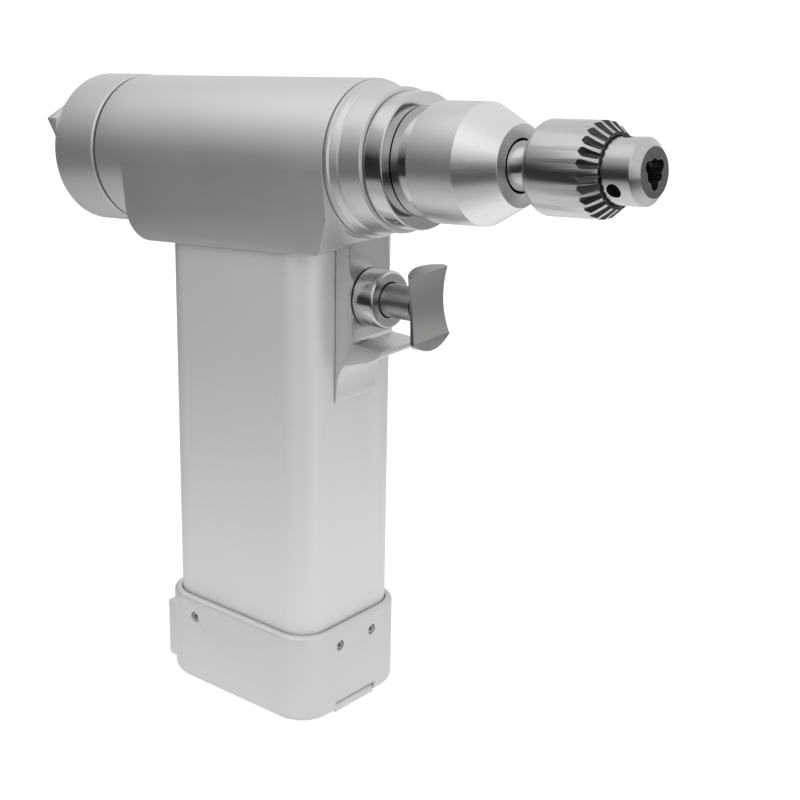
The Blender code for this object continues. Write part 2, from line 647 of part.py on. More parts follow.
def make_motor():
    """Make the motor can, stator, rotor shaft and magnet."""
    can = CORE_RADIUS
    hole = ROTOR_SHAFT + 1.0 * MM
    turned("motor_can", [
        (can, MOTOR_FRONT), (can, MOTOR_BACK), (can - MOTOR_WALL, MOTOR_BACK),
        (can - MOTOR_WALL, MOTOR_FRONT - MOTOR_FACE), (hole, MOTOR_FRONT - MOTOR_FACE),
        (hole, MOTOR_FRONT)], BARREL, "steel", COARSE)
    back = MOTOR_BACK + STATOR_INSET
    front = back + STATOR_LENGTH
    stator = turned("motor_stator", [
        (STATOR_RADIUS, front), (STATOR_RADIUS, back), (STATOR_BORE, back), (STATOR_BORE, front)],
        BARREL, "copper", COARSE)
    slots = bmesh.new()
    for index in range(STATOR_SLOTS):
        angle = 2.0 * math.pi * (index + 0.5) / STATOR_SLOTS
        reach = STATOR_BORE + 0.5 * STATOR_SLOT_DEPTH - 0.5 * MM
        turn = Matrix.Rotation(angle, 4, "Z") @ Matrix.Translation((reach, 0, 0.5 * (back + front)))
        size = Matrix.Diagonal((STATOR_SLOT_DEPTH + MM, STATOR_SLOT_WIDTH, STATOR_LENGTH + 4 * MM, 1))
        bmesh.ops.create_cube(slots, size=1.0, matrix=turn @ size)
    mesh = bpy.data.meshes.new("stator_slots")
    slots.to_mesh(mesh)
    slots.free()
    boolean(stator, place(bpy.data.objects.new("stator_slots", mesh), BARREL, cutter=True))
    rod("rotor_shaft", ROTOR_SHAFT, PLATE_BACK + 1.0 * MM, GEARS_FRONT, BARREL, "steel", SMALL)
    sleeve = ROTOR_SHAFT + SEAT
    magnet = STATOR_BORE - AIR_GAP
    turned("rotor_magnet", [(magnet, front), (magnet, back), (sleeve, back), (sleeve, front)],
           BARREL, "magnet", COARSE)


def involute(angle):
    """Return the involute function of an angle."""
    return math.tan(angle) - angle


def gear_outline(teeth, inner, outer, slack, phase=0.0):
    """Return a gear's outline: involute flanks between two radii, a tooth centred on phase."""
    pitch = 0.5 * GEAR_MODULE * teeth
    base = pitch * math.cos(PRESSURE_ANGLE)
    half = 0.5 * math.pi / teeth - 0.5 * slack / pitch
    levels = 3
    start = max(inner, base)
    radii = [start + (outer - start) * step / (levels - 1) for step in range(levels)]
    spread = [half + involute(PRESSURE_ANGLE) - involute(math.acos(min(1.0, base / radius)))
              for radius in radii]
    if inner < start - 1e-6:
        radii.insert(0, inner)
        spread.insert(0, spread[0])
    points = []
    for tooth in range(teeth):
        middle = phase + 2.0 * math.pi * tooth / teeth
        flank = [(radius, middle - angle) for radius, angle in zip(radii, spread)]
        flank += [(radius, middle + angle) for radius, angle in reversed(list(zip(radii, spread)))]
        points += [(radius * math.cos(angle), radius * math.sin(angle)) for radius, angle in flank]
    return points


def make_gears():
    """Make the sun, planet and ring gears in mesh, with the planets' pins."""
    low = TOOTH_DEDENDUM * GEAR_MODULE
    high = TOOTH_ADDENDUM * GEAR_MODULE
    sun_pitch = 0.5 * GEAR_MODULE * SUN_TEETH
    planet_pitch = 0.5 * GEAR_MODULE * PLANET_TEETH
    ring_pitch = 0.5 * GEAR_MODULE * RING_TEETH
    sun = slab("sun_gear", gear_outline(SUN_TEETH, sun_pitch - low, sun_pitch + high, BACKLASH),
               GEARS_BACK, GEARS_FRONT, BARREL, "steel")
    boolean(sun, rod("sun_bore", ROTOR_SHAFT + SEAT, GEARS_BACK - MM, GEARS_FRONT + MM, BARREL,
                     steps=SMALL))
    ring = rod("ring_gear", CORE_RADIUS, RING_GEAR_BACK, RING_GEAR_BACK + RING_LENGTH, BARREL,
               "steel", 36)
    hollow = gear_outline(RING_TEETH, ring_pitch - high, ring_pitch + low, -BACKLASH,
                          math.pi / RING_TEETH)
    boolean(ring, slab("ring_gear_hollow", hollow, RING_GEAR_BACK - MM,
                       RING_GEAR_BACK + RING_LENGTH + MM, BARREL))
    for index in range(PLANETS):
        angle = 2.0 * math.pi * index / PLANETS
        centre = (GEAR_CENTRES * math.cos(angle), GEAR_CENTRES * math.sin(angle), 0.0)
        outline = gear_outline(PLANET_TEETH, planet_pitch - low, planet_pitch + high, BACKLASH,
                               math.pi / PLANET_TEETH)
        number = str(index + 1)
        gear = slab("planet_gear_" + number, outline, GEARS_BACK, GEARS_FRONT, BARREL, "steel",
                    at=centre, turn=(0, 0, angle))
        boolean(gear, rod("planet_bore_" + number, PLANET_PIN + SEAT, GEARS_BACK - MM,
                          GEARS_FRONT + MM, BARREL, steps=SMALL, at=centre))
        rod("planet_pin_" + number, PLANET_PIN, GEARS_BACK, CARRIER_FRONT, BARREL, "steel", SMALL,
            at=centre)


def make_spindle():
    """Make the planet carrier with the output shaft."""
    shaft = SPINDLE_RADIUS
    spindle = turned("spindle", [
        (0.0, CHUCK_BACK + TANG_LENGTH), (SPINDLE_TANG - 0.6 * MM, CHUCK_BACK + TANG_LENGTH),
        (SPINDLE_TANG, CHUCK_BACK + TANG_LENGTH - 0.6 * MM), (SPINDLE_TANG, CHUCK_BACK - SEAM),
        (shaft, CHUCK_BACK - SEAM), (shaft, CARRIER_FRONT), (CARRIER_RADIUS, CARRIER_FRONT),
        (CARRIER_RADIUS, CARRIER_BACK), (0.0, CARRIER_BACK)], BARREL, "steel", COARSE, closed=False)
    for index in range(PLANETS):
        angle = 2.0 * math.pi * index / PLANETS
        centre = (GEAR_CENTRES * math.cos(angle), GEAR_CENTRES * math.sin(angle), 0.0)
        boolean(spindle, rod("carrier_hole_" + str(index + 1), PLANET_PIN + SEAT,
                             CARRIER_BACK - MM, CARRIER_FRONT + MM, BARREL, steps=SMALL, at=centre))


def make_bearing(name, back, look="polished"):
    """Make a bearing's outer race, cage and inner race."""
    front = back + BEARING_WIDTH
    middle = 0.5 * (RACE_MID + RACE_OUT)
    half = 0.5 * (BALL_SPACE - 2.0 * SEAT)
    centre = 0.5 * (back + front)
    turned(name + "_outer_race", [(BEARING_RADIUS, front), (BEARING_RADIUS, back),
                                  (RACE_OUT, back), (RACE_OUT, front)], BARREL, look, COARSE)
    turned(name + "_ball_cage", [
        (middle + half, centre + CAGE_THICK), (middle + half, centre - CAGE_THICK),
        (middle - half, centre - CAGE_THICK), (middle - half, centre + CAGE_THICK)],
        BARREL, "brass", COARSE)
    turned(name + "_inner_race", [(RACE_MID, front), (RACE_MID, back), (RACE_IN, back),
                                  (RACE_IN, front)], BARREL, look, COARSE)


def make_nose():
    """Make the flange, the polished ring and the collar with its cone."""
    seat = BEARING_RADIUS + SEAT
    stop = BEARING_RADIUS - RACE_THICK
    back = BEARING_BACK_AT
    turned("nose_flange", [
        (FLANGE_LIP - FLANGE_LIP_WIDTH, FLANGE_FRONT), (FLANGE_LIP, FLANGE_FRONT - 0.4 * MM),
        (FLANGE_SHOULDER, FLANGE_BACK + FLANGE_SHOULDER_AT),
        (FLANGE_RADIUS - 0.35 * MM, FLANGE_BACK + FLANGE_RIM + 0.3 * MM),
        (FLANGE_RADIUS, FLANGE_BACK + FLANGE_RIM), (FLANGE_RADIUS, FLANGE_BACK),
        (CORE_RADIUS, FLANGE_BACK), (CORE_RADIUS, FLANGE_BACK - FLANGE_SPIGOT),
        (FLANGE_BORE, FLANGE_BACK - FLANGE_SPIGOT), (FLANGE_BORE, back - 1.4 * MM),
        (seat, back - 1.4 * MM), (seat, back + BEARING_WIDTH + SEAM),
        (stop, back + BEARING_WIDTH + SEAM), (stop, FLANGE_FRONT)], BARREL, "satin", FINE)
    inner = NOSE_SPIGOT + SEAT
    turned("gearbox_ring", [
        (RING_RADIUS - RING_EDGE, RING_FRONT), (RING_RADIUS, RING_FRONT - RING_EDGE),
        (RING_RADIUS, RING_BACK), (inner, RING_BACK), (inner, RING_FRONT)],
        BARREL, "polished", FINE)
    step = COLLAR_BACK + NECK_LENGTH
    front = BEARING_FRONT_AT
    bore = NOSE_SPIGOT - 2.0 * MM
    turned("nose_collar", [
        (CHUCK_NECK + THROAT, NOSE_FRONT), (NOSE_RADIUS - 0.4 * MM, NOSE_FRONT),
        (NOSE_RADIUS, NOSE_FRONT - 0.3 * MM), (COLLAR_RADIUS, CONE_START),
        (COLLAR_RADIUS, step + COLLAR_EDGE), (COLLAR_RADIUS - COLLAR_EDGE, step),
        (NECK_RADIUS, step), (NECK_RADIUS, COLLAR_BACK), (NOSE_SPIGOT, COLLAR_BACK),
        (NOSE_SPIGOT, RING_BACK), (bore, RING_BACK), (bore, front - SEAM), (seat, front - SEAM),
        (seat, front + BEARING_WIDTH + SEAM), (CHUCK_NECK + THROAT + 1.4 * MM,
                                               front + BEARING_WIDTH + SEAM),
        (CHUCK_NECK + THROAT + 1.4 * MM, NOSE_FRONT - NOSE_LIP),
        (CHUCK_NECK + THROAT, NOSE_FRONT - NOSE_LIP)], BARREL, "satin", FINE)
    top = NOSE_FRONT - NOSE_LIP - SEAM
    turned("spindle_seal", [
        (CHUCK_NECK + THROAT + 1.4 * MM - SEAT, top),
        (CHUCK_NECK + THROAT + 1.4 * MM - SEAT, top - SEAL_WIDTH),
        (SPINDLE_RADIUS + SEAT, top - SEAL_WIDTH), (SPINDLE_RADIUS + SEAT, top)],
        BARREL, "rubber", COARSE)


def jaw_axis_radius(height):
    """Return how far a jaw's axis lies from the barrel line at a height along it."""
    return JAW_AXIS_AT_FACE + (CHUCK_FACE - height) * math.tan(JAW_SLOPE)


def jaw_angle(index):
    """Return a jaw's angle about the barrel line, midway between two key holes."""
    return KEY_HOLE_ANGLE + math.pi / JAWS + 2.0 * math.pi * index / JAWS


def jaw_matrix(index):
    """Return a jaw's frame: Z along its closing motion, X away from the barrel line."""
    out = around(jaw_angle(index), 1.0)
    forward = Vector((0.0, 0.0, 1.0))
    along = (math.cos(JAW_SLOPE) * forward - math.sin(JAW_SLOPE) * out).normalized()
    away = (math.cos(JAW_SLOPE) * out + math.sin(JAW_SLOPE) * forward).normalized()
    side = along.cross(away)
    origin = JAW_AXIS_AT_FACE * out + CHUCK_FACE * forward
    return Matrix((
        (away.x, side.x, along.x, origin.x), (away.y, side.y, along.y, origin.y),
        (away.z, side.z, along.z, origin.z), (0.0, 0.0, 0.0, 1.0)))


def make_chuck():
    """Make the chuck's body, toothed sleeve, split nut and jaws."""
    tang = SPINDLE_TANG + SEAT
    floor = CHUCK_FACE - CHUCK_MOUTH_DEPTH
    jaw_out = JAW_RADIUS / math.cos(JAW_SLOPE)
    groove = [jaw_axis_radius(height) + jaw_out - 0.15 * MM for height in (NUT_FRONT, NUT_BACK)]
    neck = [(CHUCK_NECK - CHUCK_NECK_WAIST * math.sin(math.pi * step / NECK_STEPS),
             SLEEVE_BACK - (SLEEVE_BACK - CHUCK_BACK - 0.4 * MM) * step / NECK_STEPS)
            for step in range(NECK_STEPS + 1)]
    body = turned("chuck_body", [
        (0.0, floor), (CHUCK_MOUTH, floor + 1.2 * MM), (CHUCK_MOUTH, CHUCK_FACE),
        (CHUCK_FACE_RADIUS, CHUCK_FACE),
        (CHUCK_NOSE_RADIUS, CHUCK_FACE - CHUCK_NOSE_CHAMFER),
        (CHUCK_NOSE_RADIUS, NUT_FRONT + SEAM), (groove[0], NUT_FRONT + SEAM),
        (groove[1], NUT_BACK - SEAM), (CHUCK_CORE_RADIUS, NUT_BACK - SEAM),
        (CHUCK_CORE_RADIUS, SLEEVE_BACK + SEAM), *neck,
        (CHUCK_NECK - 0.4 * MM, CHUCK_BACK), (tang, CHUCK_BACK),
        (tang, CHUCK_BACK + TANG_LENGTH + SEAM), (0.0, CHUCK_BACK + TANG_LENGTH + SEAM)],
        BARREL, "chuck", 30, closed=False)
    for index in range(JAWS):
        bore = rod("jaw_bore_" + str(index + 1), JAW_RADIUS + JAW_GAP, -JAW_INSET - JAW_LENGTH - MM,
                   4 * MM, BARREL, steps=SMALL)
        bore.matrix_local = jaw_matrix(index)
        boolean(body, bore)
        hole_angle = KEY_HOLE_ANGLE + 2.0 * math.pi * index / JAWS
        spot = around(hole_angle, 1.0)
        hole = rod("key_hole_" + str(index + 1), KEY_HOLE_RADIUS, KEY_HOLE_FLOOR,
                   CHUCK_NOSE_RADIUS + 2 * MM, BARREL, steps=SMALL, at=(0, 0, KEY_HOLE_AT))
        hole.rotation_euler = spot.to_track_quat("Z", "Y").to_euler()
        boolean(body, hole)
        lobe = MOUTH_LOBE_AT * spot
        boolean(body, rod("mouth_lobe_" + str(index + 1), MOUTH_LOBE, floor + 1.2 * MM,
                          CHUCK_FACE + MM, BARREL, steps=SMALL, at=(lobe.x, lobe.y, 0.0)))
    make_sleeve()
    make_nut(jaw_out)
    for index in range(JAWS):
        make_jaw(index)


def make_sleeve():
    """Make the smooth sleeve whose front cone carries the key's teeth."""
    rear_bore = CHUCK_CORE_RADIUS + SEAT
    seat = NUT_RADIUS + SEAT
    lip = CHUCK_NOSE_RADIUS + SEAT
    sleeve = turned("chuck_sleeve", [
        (SLEEVE_FRONT_RADIUS, SLEEVE_FRONT), (SLEEVE_RADIUS, SLEEVE_TEETH_AT),
        (SLEEVE_RADIUS, SLEEVE_BACK + SLEEVE_BACK_CHAMFER), (SLEEVE_BACK_RADIUS, SLEEVE_BACK),
        (rear_bore, SLEEVE_BACK), (rear_bore, NUT_BACK - SEAM), (seat, NUT_BACK - SEAM),
        (seat, NUT_FRONT + SEAM), (lip, NUT_FRONT + SEAM), (lip, SLEEVE_FRONT)],
        BARREL, "chuck", 2 * SLEEVE_TEETH)
    gaps = bmesh.new()
    near = around(SLEEVE_TURN, 1.0)
    for index in range(SLEEVE_TEETH):
        angle = math.atan2(near.y, near.x) + 2.0 * math.pi * index / SLEEVE_TEETH
        add_tooth_gap(gaps, Matrix.Rotation(angle, 4, "Z"))
    bmesh.ops.recalc_face_normals(gaps, faces=gaps.faces)
    mesh = bpy.data.meshes.new("sleeve_tooth_gaps")
    gaps.to_mesh(mesh)
    gaps.free()
    boolean(sleeve, place(bpy.data.objects.new("sleeve_tooth_gaps", mesh), BARREL, cutter=True))


def add_tooth_gap(work, turn):
    """Add one boat-shaped gap: a V that starts in a point, deepens and runs out at the front."""
    pitch = 2.0 * math.pi / SLEEVE_TEETH
    deep = SLEEVE_RADIUS - SLEEVE_GAP_DEPTH
    root = SLEEVE_FRONT_RADIUS - SLEEVE_TOOTH_DEPTH
    lift = 0.25 * MM
    stations = [(SLEEVE_TEETH_AT - SLEEVE_GAP_BACK, SLEEVE_RADIUS + 0.1 * MM, SLEEVE_RADIUS + 0.6 * MM),
                (SLEEVE_TEETH_AT + SLEEVE_GAP_DEEPEST, deep, SLEEVE_RADIUS - 0.05 * MM),
                (SLEEVE_FRONT + 0.1 * MM, root, SLEEVE_FRONT_RADIUS + lift),
                (SLEEVE_FRONT + 1.2 * MM, root, SLEEVE_FRONT_RADIUS + lift)]
    rings = []
    for height, floor, top in stations:
        half = 0.5 * pitch * top * SLEEVE_GAP_SHARE
        rings.append([work.verts.new(turn @ Vector(point)) for point in (
            (floor, 0.0, height), (top, half, height), (top, -half, height))])
    work.faces.new(rings[0])
    work.faces.new(rings[-1])
    for first, second in zip(rings, rings[1:]):
        for corner in range(3):
            ahead = (corner + 1) % 3
            work.faces.new((first[corner], first[ahead], second[ahead], second[corner]))


def make_nut(jaw_out):
    """Make the two halves of the split nut that drives the jaws."""
    inner = [jaw_axis_radius(height) + jaw_out + JAW_GAP for height in (NUT_FRONT, NUT_BACK)]
    for name, side in (("chuck_nut_left", 1.0), ("chuck_nut_right", -1.0)):
        half = turned(name, [(NUT_RADIUS, NUT_FRONT), (NUT_RADIUS, NUT_BACK), (inner[1], NUT_BACK),
                             (inner[0], NUT_FRONT)], BARREL, "steel", 36)
        reach = 2.0 * NUT_RADIUS
        gap = 0.5 * SEAM
        low, high = sorted((side * gap, -side * reach))
        boolean(half, box(name + "_split", (-reach, low, NUT_BACK - MM),
                          (reach, high, NUT_FRONT + MM), BARREL))


def make_jaw(index):
    """Make one jaw: a sloping pin with a grip flat parallel to the barrel line."""
    name = "chuck_jaw_" + str(index + 1)
    jaw = rod(name, JAW_RADIUS, -JAW_INSET - JAW_LENGTH, -JAW_INSET, BARREL, "steel", SMALL)
    jaw.matrix_local = jaw_matrix(index)
    out = around(jaw_angle(index), 1.0)
    flat = box(name + "_flat", (-10 * MM, -5 * MM, CHUCK_FACE - JAW_LENGTH),
               (GRIP_RADIUS, 5 * MM, CHUCK_FACE + 2 * MM), BARREL,
               turn=(0, 0, math.atan2(out.y, out.x)))
    boolean(jaw, flat)


def handle_outline(grow):
    """Return the handle's outline, grown on all sides."""
    return rounded_outline(HANDLE_HALF_LENGTH + grow, HANDLE_HALF_WIDTH + grow,
                           HANDLE_ROUND + grow, HANDLE_X)


def make_handle():
    """Make the handle tube, cut along the saddle's underside."""
    rise = BARREL_ROOT_Z
    handle = slab("handle_tube", handle_outline(0.0), HANDLE_BOTTOM, rise, look="handle")
    boolean(handle, slab("handle_room", handle_outline(-HANDLE_WALL), HANDLE_BOTTOM - 5 * MM,
                         rise + 5 * MM))
    boolean(handle, box("handle_top_cut",
                        (-60 * MM, -40 * MM, -80 * MM), (SADDLE_DEPTH + SEAM, 40 * MM, 120 * MM),
                        BARREL))
    boolean(handle, rod("handle_bush_hole", BUSH_SPIGOT + SEAT, -BUSH_SPIGOT_LENGTH - 4 * MM,
                        3 * MM, TRIGGER_LINE, steps=COARSE))


def make_trigger():
    """Make the bush, stem, finger pad, spring and switch on the trigger line."""
    hole = STEM_RADIUS + SEAM
    turned("trigger_bush", [
        (BUSH_RADIUS - BUSH_EDGE, BUSH_LENGTH), (BUSH_RADIUS, BUSH_LENGTH - BUSH_EDGE),
        (BUSH_RADIUS, SEAM), (BUSH_SPIGOT, SEAM), (BUSH_SPIGOT, -BUSH_SPIGOT_LENGTH),
        (hole, -BUSH_SPIGOT_LENGTH), (hole, BUSH_LENGTH)], TRIGGER_LINE, "polished", 36)
    flange = -BUSH_SPIGOT_LENGTH - SEAM
    back = flange - STEM_FLANGE_WIDTH
    tail = back - STEM_TAIL_LENGTH
    pad_back = PAD_FRONT - PAD_MIDDLE
    turned("trigger_stem", [
        (0.0, pad_back - SEAM), (STEM_RADIUS, pad_back - SEAM), (STEM_RADIUS, flange),
        (STEM_FLANGE, flange), (STEM_FLANGE, back), (STEM_TAIL, back), (STEM_TAIL, tail),
        (0.0, tail)], TRIGGER_LINE, "trigger", COARSE, closed=False)
    make_pad(pad_back)
    make_spring(back)
    switch_front = back - SPRING_LENGTH
    half_width = HANDLE_HALF_WIDTH - HANDLE_WALL - SEAM
    switch = box("trigger_switch", (-SWITCH_HALF_HEIGHT, -half_width, switch_front - SWITCH_LENGTH),
                 (SWITCH_HALF_HEIGHT, half_width, switch_front), TRIGGER_LINE, "dark",
                 rounding=[(lambda corner: True, 1.0 * MM, 1)])
    depth = TRIGGER_TRAVEL + STEM_TAIL_LENGTH - SPRING_LENGTH + 2.0 * MM
    boolean(switch, rod("switch_tail_hole", STEM_TAIL + SEAM, switch_front - depth,
                        switch_front + MM, TRIGGER_LINE, steps=SMALL))


def make_pad(pad_back):
    """Make the finger pad: a crescent plate with a finger groove and a waisted outline."""
    steps = 12
    shares = [-1.0 + 2.0 * step / steps for step in range(steps + 1)]
    edge = PAD_FRONT - PAD_EDGE
    plan = [(PAD_HALF_WIDTH, PAD_FRONT), (-PAD_HALF_WIDTH, PAD_FRONT)]
    plan += [(share * PAD_HALF_WIDTH, edge + (pad_back - edge) * (1.0 - share * share))
             for share in shares]
    lowest = PAD_BOTTOM + PAD_BOTTOM_ARCH
    pad = slab("trigger_pad", plan, -lowest - 2 * MM, lowest + 2 * MM, TRIGGER_LINE, "trigger",
               turn=EDGEWISE)
    middle = 0.5 * (PAD_BOTTOM - PAD_TOP)
    half = 0.5 * (PAD_BOTTOM + PAD_TOP)
    side = [(middle + share * half, PAD_FRONT - PAD_HOLLOW * (1.0 - share * share))
            for share in shares]
    side += [(lowest + MM, PAD_FRONT), (lowest + MM, pad_back - MM),
             (-PAD_TOP - PAD_TOP_RISE, pad_back - MM)]
    boolean(pad, slab("pad_side", side, -PAD_HALF_WIDTH - MM, PAD_HALF_WIDTH + MM, TRIGGER_LINE,
                      turn=UPRIGHT), "INTERSECT")
    waist = [PAD_HALF_WIDTH - PAD_WAIST * (1.0 - share * share) for share in shares]
    high = -PAD_TOP - PAD_TOP_RISE - MM
    face = [(high, -PAD_HALF_WIDTH), (high, PAD_HALF_WIDTH)]
    face += [(middle + share * half, reach) for share, reach in zip(shares, waist)]
    face += [(PAD_BOTTOM + PAD_BOTTOM_ARCH * (1.0 - share * share), -share * PAD_HALF_WIDTH)
             for share in shares[1:-1]]
    face += [(middle - share * half, -reach) for share, reach in zip(shares, waist)]
    boolean(pad, slab("pad_outline", face, pad_back - 2 * MM, PAD_FRONT + 2 * MM, TRIGGER_LINE),
            "INTERSECT")


def make_spring(back):
    """Make the trigger's return spring around the stem's tail."""
    curve = bpy.data.curves.new("trigger_spring", "CURVE")
    curve.dimensions = "3D"
    curve.bevel_depth = SPRING_WIRE
    curve.bevel_resolution = 2
    curve.use_fill_caps = True
    turns = SPRING_TURNS * SPRING_STEPS
    top = back - SEAM - SPRING_WIRE
    length = SPRING_LENGTH - 2.0 * (SEAM + SPRING_WIRE)
    spline = curve.splines.new("POLY")
    spline.points.add(turns)
    for step in range(turns + 1):
        angle = 2.0 * math.pi * step / SPRING_STEPS
        spline.points[step].co = (SPRING_RADIUS * math.cos(angle), SPRING_RADIUS * math.sin(angle),
                                  top - length * step / turns, 1.0)
    obj = place(bpy.data.objects.new("trigger_spring", curve), TRIGGER_LINE)
    dress(obj, "steel")


def make_base():
    """Make the battery case, its gasket, frame, cells, cap and tab."""
    case = slab("battery_case", rounded_outline(
        BASE_HALF_LENGTH, BASE_HALF_WIDTH, BASE_ROUND), 0.0, BASE_HEIGHT, look="handle",
        rounding=[(at_height(0.0), BASE_CHAMFER, 3), (at_height(BASE_HEIGHT), RIM_ROUND, 3)])
    length, width = BASE_CAVITY
    inner_round = BASE_ROUND - BASE_WALL
    boolean(case, slab("case_room", rounded_outline(length, width, inner_round), BASE_FLOOR,
                       LEDGE + MM))
    boolean(case, slab("case_rim_room", handle_outline(SEAM), LEDGE, BASE_HEIGHT + MM))
    back = -BASE_HALF_LENGTH
    pin = (back - LATCH_PIN_OUT, 0.0, LATCH_BOTTOM + LATCH_PIN_UP)
    ear_out = LATCH_HALF_WIDTH - LATCH_WALL - SEAM
    for name, side in (("left", 1.0), ("right", -1.0)):
        low, high = sorted((side * ear_out, side * (ear_out - EAR_THICK)))
        top = pin[2] + 0.5 * EAR_HEIGHT
        boolean(case, box("case_ear_" + name, (pin[0] - 0.5 * EAR_HEIGHT, low, top - EAR_HEIGHT),
                          (back + 1.0 * MM, high, top)), "UNION")
    boolean(case, rod("case_pin_hole", LATCH_PIN + 0.1 * MM, -LATCH_HALF_WIDTH, LATCH_HALF_WIDTH,
                      at=pin, turn=(math.pi / 2, 0, 0), steps=SMALL))
    front = BASE_HALF_LENGTH
    boolean(case, box("case_notch", (front - NOTCH_DEPTH, -NOTCH_HALF_WIDTH, -MM),
                      (front + 2 * MM, NOTCH_HALF_WIDTH, NOTCH_HEIGHT)))
    box("front_tab", (front - NOTCH_DEPTH + SEAM, -NOTCH_HALF_WIDTH + SEAM, 0.35 * MM),
        (front - TAB_INSET, NOTCH_HALF_WIDTH - SEAM, 0.35 * MM + TAB_HEIGHT), None, "handle")
    gasket = slab("base_gasket", handle_outline(-SEAM), GASKET_BOTTOM,
                  GASKET_BOTTOM + GASKET_HEIGHT, look="rubber")
    boolean(gasket, slab("gasket_room", handle_outline(-SEAM - GASKET_WIDTH), GASKET_BOTTOM - MM,
                         GASKET_BOTTOM + GASKET_HEIGHT + MM))
    frame_size = (length - SEAM, width - SEAM, inner_round - SEAM)
    frame = slab("battery_frame", rounded_outline(*frame_size), FRAME_BOTTOM,
                 FRAME_BOTTOM + FRAME_HEIGHT, look="dark")
    boolean(frame, slab("frame_room", rounded_outline(*[size - FRAME_WALL for size in frame_size]),
                        FRAME_BOTTOM - MM, FRAME_BOTTOM + FRAME_HEIGHT + MM))
    number = 0
    for side_x in (1.0, -1.0):
        for side_y in (1.0, -1.0):
            number += 1
            rod("battery_cell_" + str(number), CELL_RADIUS, CELL_BOTTOM, CELL_BOTTOM + CELL_LENGTH,
                None, "cell", COARSE, at=(0.5 * side_x * CELL_PITCH, 0.5 * side_y * CELL_PITCH, 0.0))
    slab("battery_cap", rounded_outline(CAP_HALF_LENGTH, CAP_HALF_WIDTH, TERMINAL_ROUND),
         CAP_BOTTOM, CAP_BOTTOM + CAP_HEIGHT, look="dark",
         rounding=[(at_height(CAP_BOTTOM + CAP_HEIGHT), 0.8 * MM, 1)])
    make_screws(case, frame)
    make_latch(pin)


def make_screws(case, frame):
    """Make the four socket screws that tie the case to its inner frame."""
    front = (BASE_HALF_LENGTH, 0.0)
    spots = [("front_1", (front[0], SCREW_FRONT_Y), 0.0), ("front_2", (front[0], -SCREW_FRONT_Y), 0.0),
             ("left", (SCREW_SIDE_X, BASE_HALF_WIDTH), 90.0),
             ("right", (SCREW_SIDE_X, -BASE_HALF_WIDTH), -90.0)]
    for name, (x, y), heading in spots:
        out = Vector((math.cos(math.radians(heading)), math.sin(math.radians(heading)), 0.0))
        turn = out.to_track_quat("Z", "Y").to_euler()
        at = (x, y, SCREW_Z)
        head = -SCREW_SUNK
        under = head - SCREW_HEAD_HEIGHT
        turned("base_screw_" + name, [
            (0.0, head - SCREW_SOCKET_DEPTH), (SCREW_SOCKET, head - SCREW_SOCKET_DEPTH),
            (SCREW_SOCKET, head), (SCREW_HEAD - 0.25 * MM, head), (SCREW_HEAD, head - 0.25 * MM),
            (SCREW_HEAD, under), (SCREW_SHANK, under), (SCREW_SHANK, under - SCREW_LENGTH + MM),
            (0.0, under - SCREW_LENGTH + MM)], None, "steel", 12, closed=False, at=at, turn=turn)
        boolean(case, rod("screw_head_hole_" + name, SCREW_HEAD + SEAT, under - SEAM, 2 * MM,
                          at=at, turn=turn, steps=SMALL))
        shank = rod("screw_shank_hole_" + name, SCREW_SHANK + SEAT, under - 8 * MM, 1 * MM,
                    at=at, turn=turn, steps=12)
        boolean(case, shank)
        boolean(frame, shank)


def make_latch(pin):
    """Make the rear latch, hollow towards the case, and its pivot pin."""
    out = -BASE_HALF_LENGTH - LATCH_GAP
    half = LATCH_HALF_WIDTH
    low = (out - LATCH_THICK - pin[0], -half, LATCH_BOTTOM - pin[2])
    high = (out - pin[0], half, LATCH_BOTTOM + LATCH_HEIGHT - pin[2])
    outer = low[0]
    latch = box("rear_latch", low, high, None, "handle", at=pin, rounding=[
        (lambda corner: abs(corner.x - outer) < 1e-6, LATCH_ROUND, 3)])
    wall = LATCH_WALL
    boolean(latch, box("latch_room", (low[0] + wall, -half + wall, low[2] + wall),
                       (high[0] + 2 * MM, half - wall, high[2] - wall), at=pin))
    grip = LATCH_PIN + 0.1 * MM
    boolean(latch, rod("latch_pin_hole", grip, -half + 0.6 * MM, half - 0.6 * MM, at=pin,
                       turn=(math.pi / 2, 0, 0), steps=SMALL))
    rod("latch_pin", LATCH_PIN, -half + 0.9 * MM, half - 0.9 * MM, None, "steel", SMALL, at=pin,
        turn=(math.pi / 2, 0, 0))


def make_electronics():
    """Make the terminal block and the control board inside the handle."""
    wall = HANDLE_WALL + SEAM
    slab("terminal_block", rounded_outline(
        HANDLE_HALF_LENGTH - wall, HANDLE_HALF_WIDTH - wall, TERMINAL_ROUND, HANDLE_X),
        TERMINAL_BOTTOM, TERMINAL_BOTTOM + TERMINAL_HEIGHT, look="dark")
    reach = HANDLE_HALF_LENGTH - wall
    board = box("control_board", (HANDLE_X - reach, -0.5 * BOARD_THICK, BOARD_BOTTOM),
                (HANDLE_X + reach, 0.5 * BOARD_THICK, BOARD_BOTTOM + BOARD_HEIGHT), None, "board")
    for name, x, up in (("chip", -9.0 * MM, 14.0 * MM), ("driver", 9.0 * MM, 22.0 * MM)):
        centre = BOARD_BOTTOM + up
        boolean(board, box("board_" + name, (x - 5 * MM, -0.5 * BOARD_THICK - 1.6 * MM,
                                             centre - 4 * MM),
                           (x + 5 * MM, 0.0, centre + 4 * MM)), "UNION")


make_housing()
make_rear()
make_motor()
make_gears()
make_spindle()
make_bearing("rear_bearing", BEARING_BACK_AT)
make_bearing("front_bearing", BEARING_FRONT_AT)
make_nose()
make_chuck()
make_handle()
make_trigger()
make_base()
make_electronics()
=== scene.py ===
"""Looks for a surgical power drill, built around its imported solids."""
import logging
import math
from dataclasses import dataclass, field, replace
from enum import Enum
from typing import Callable, Optional, Sequence

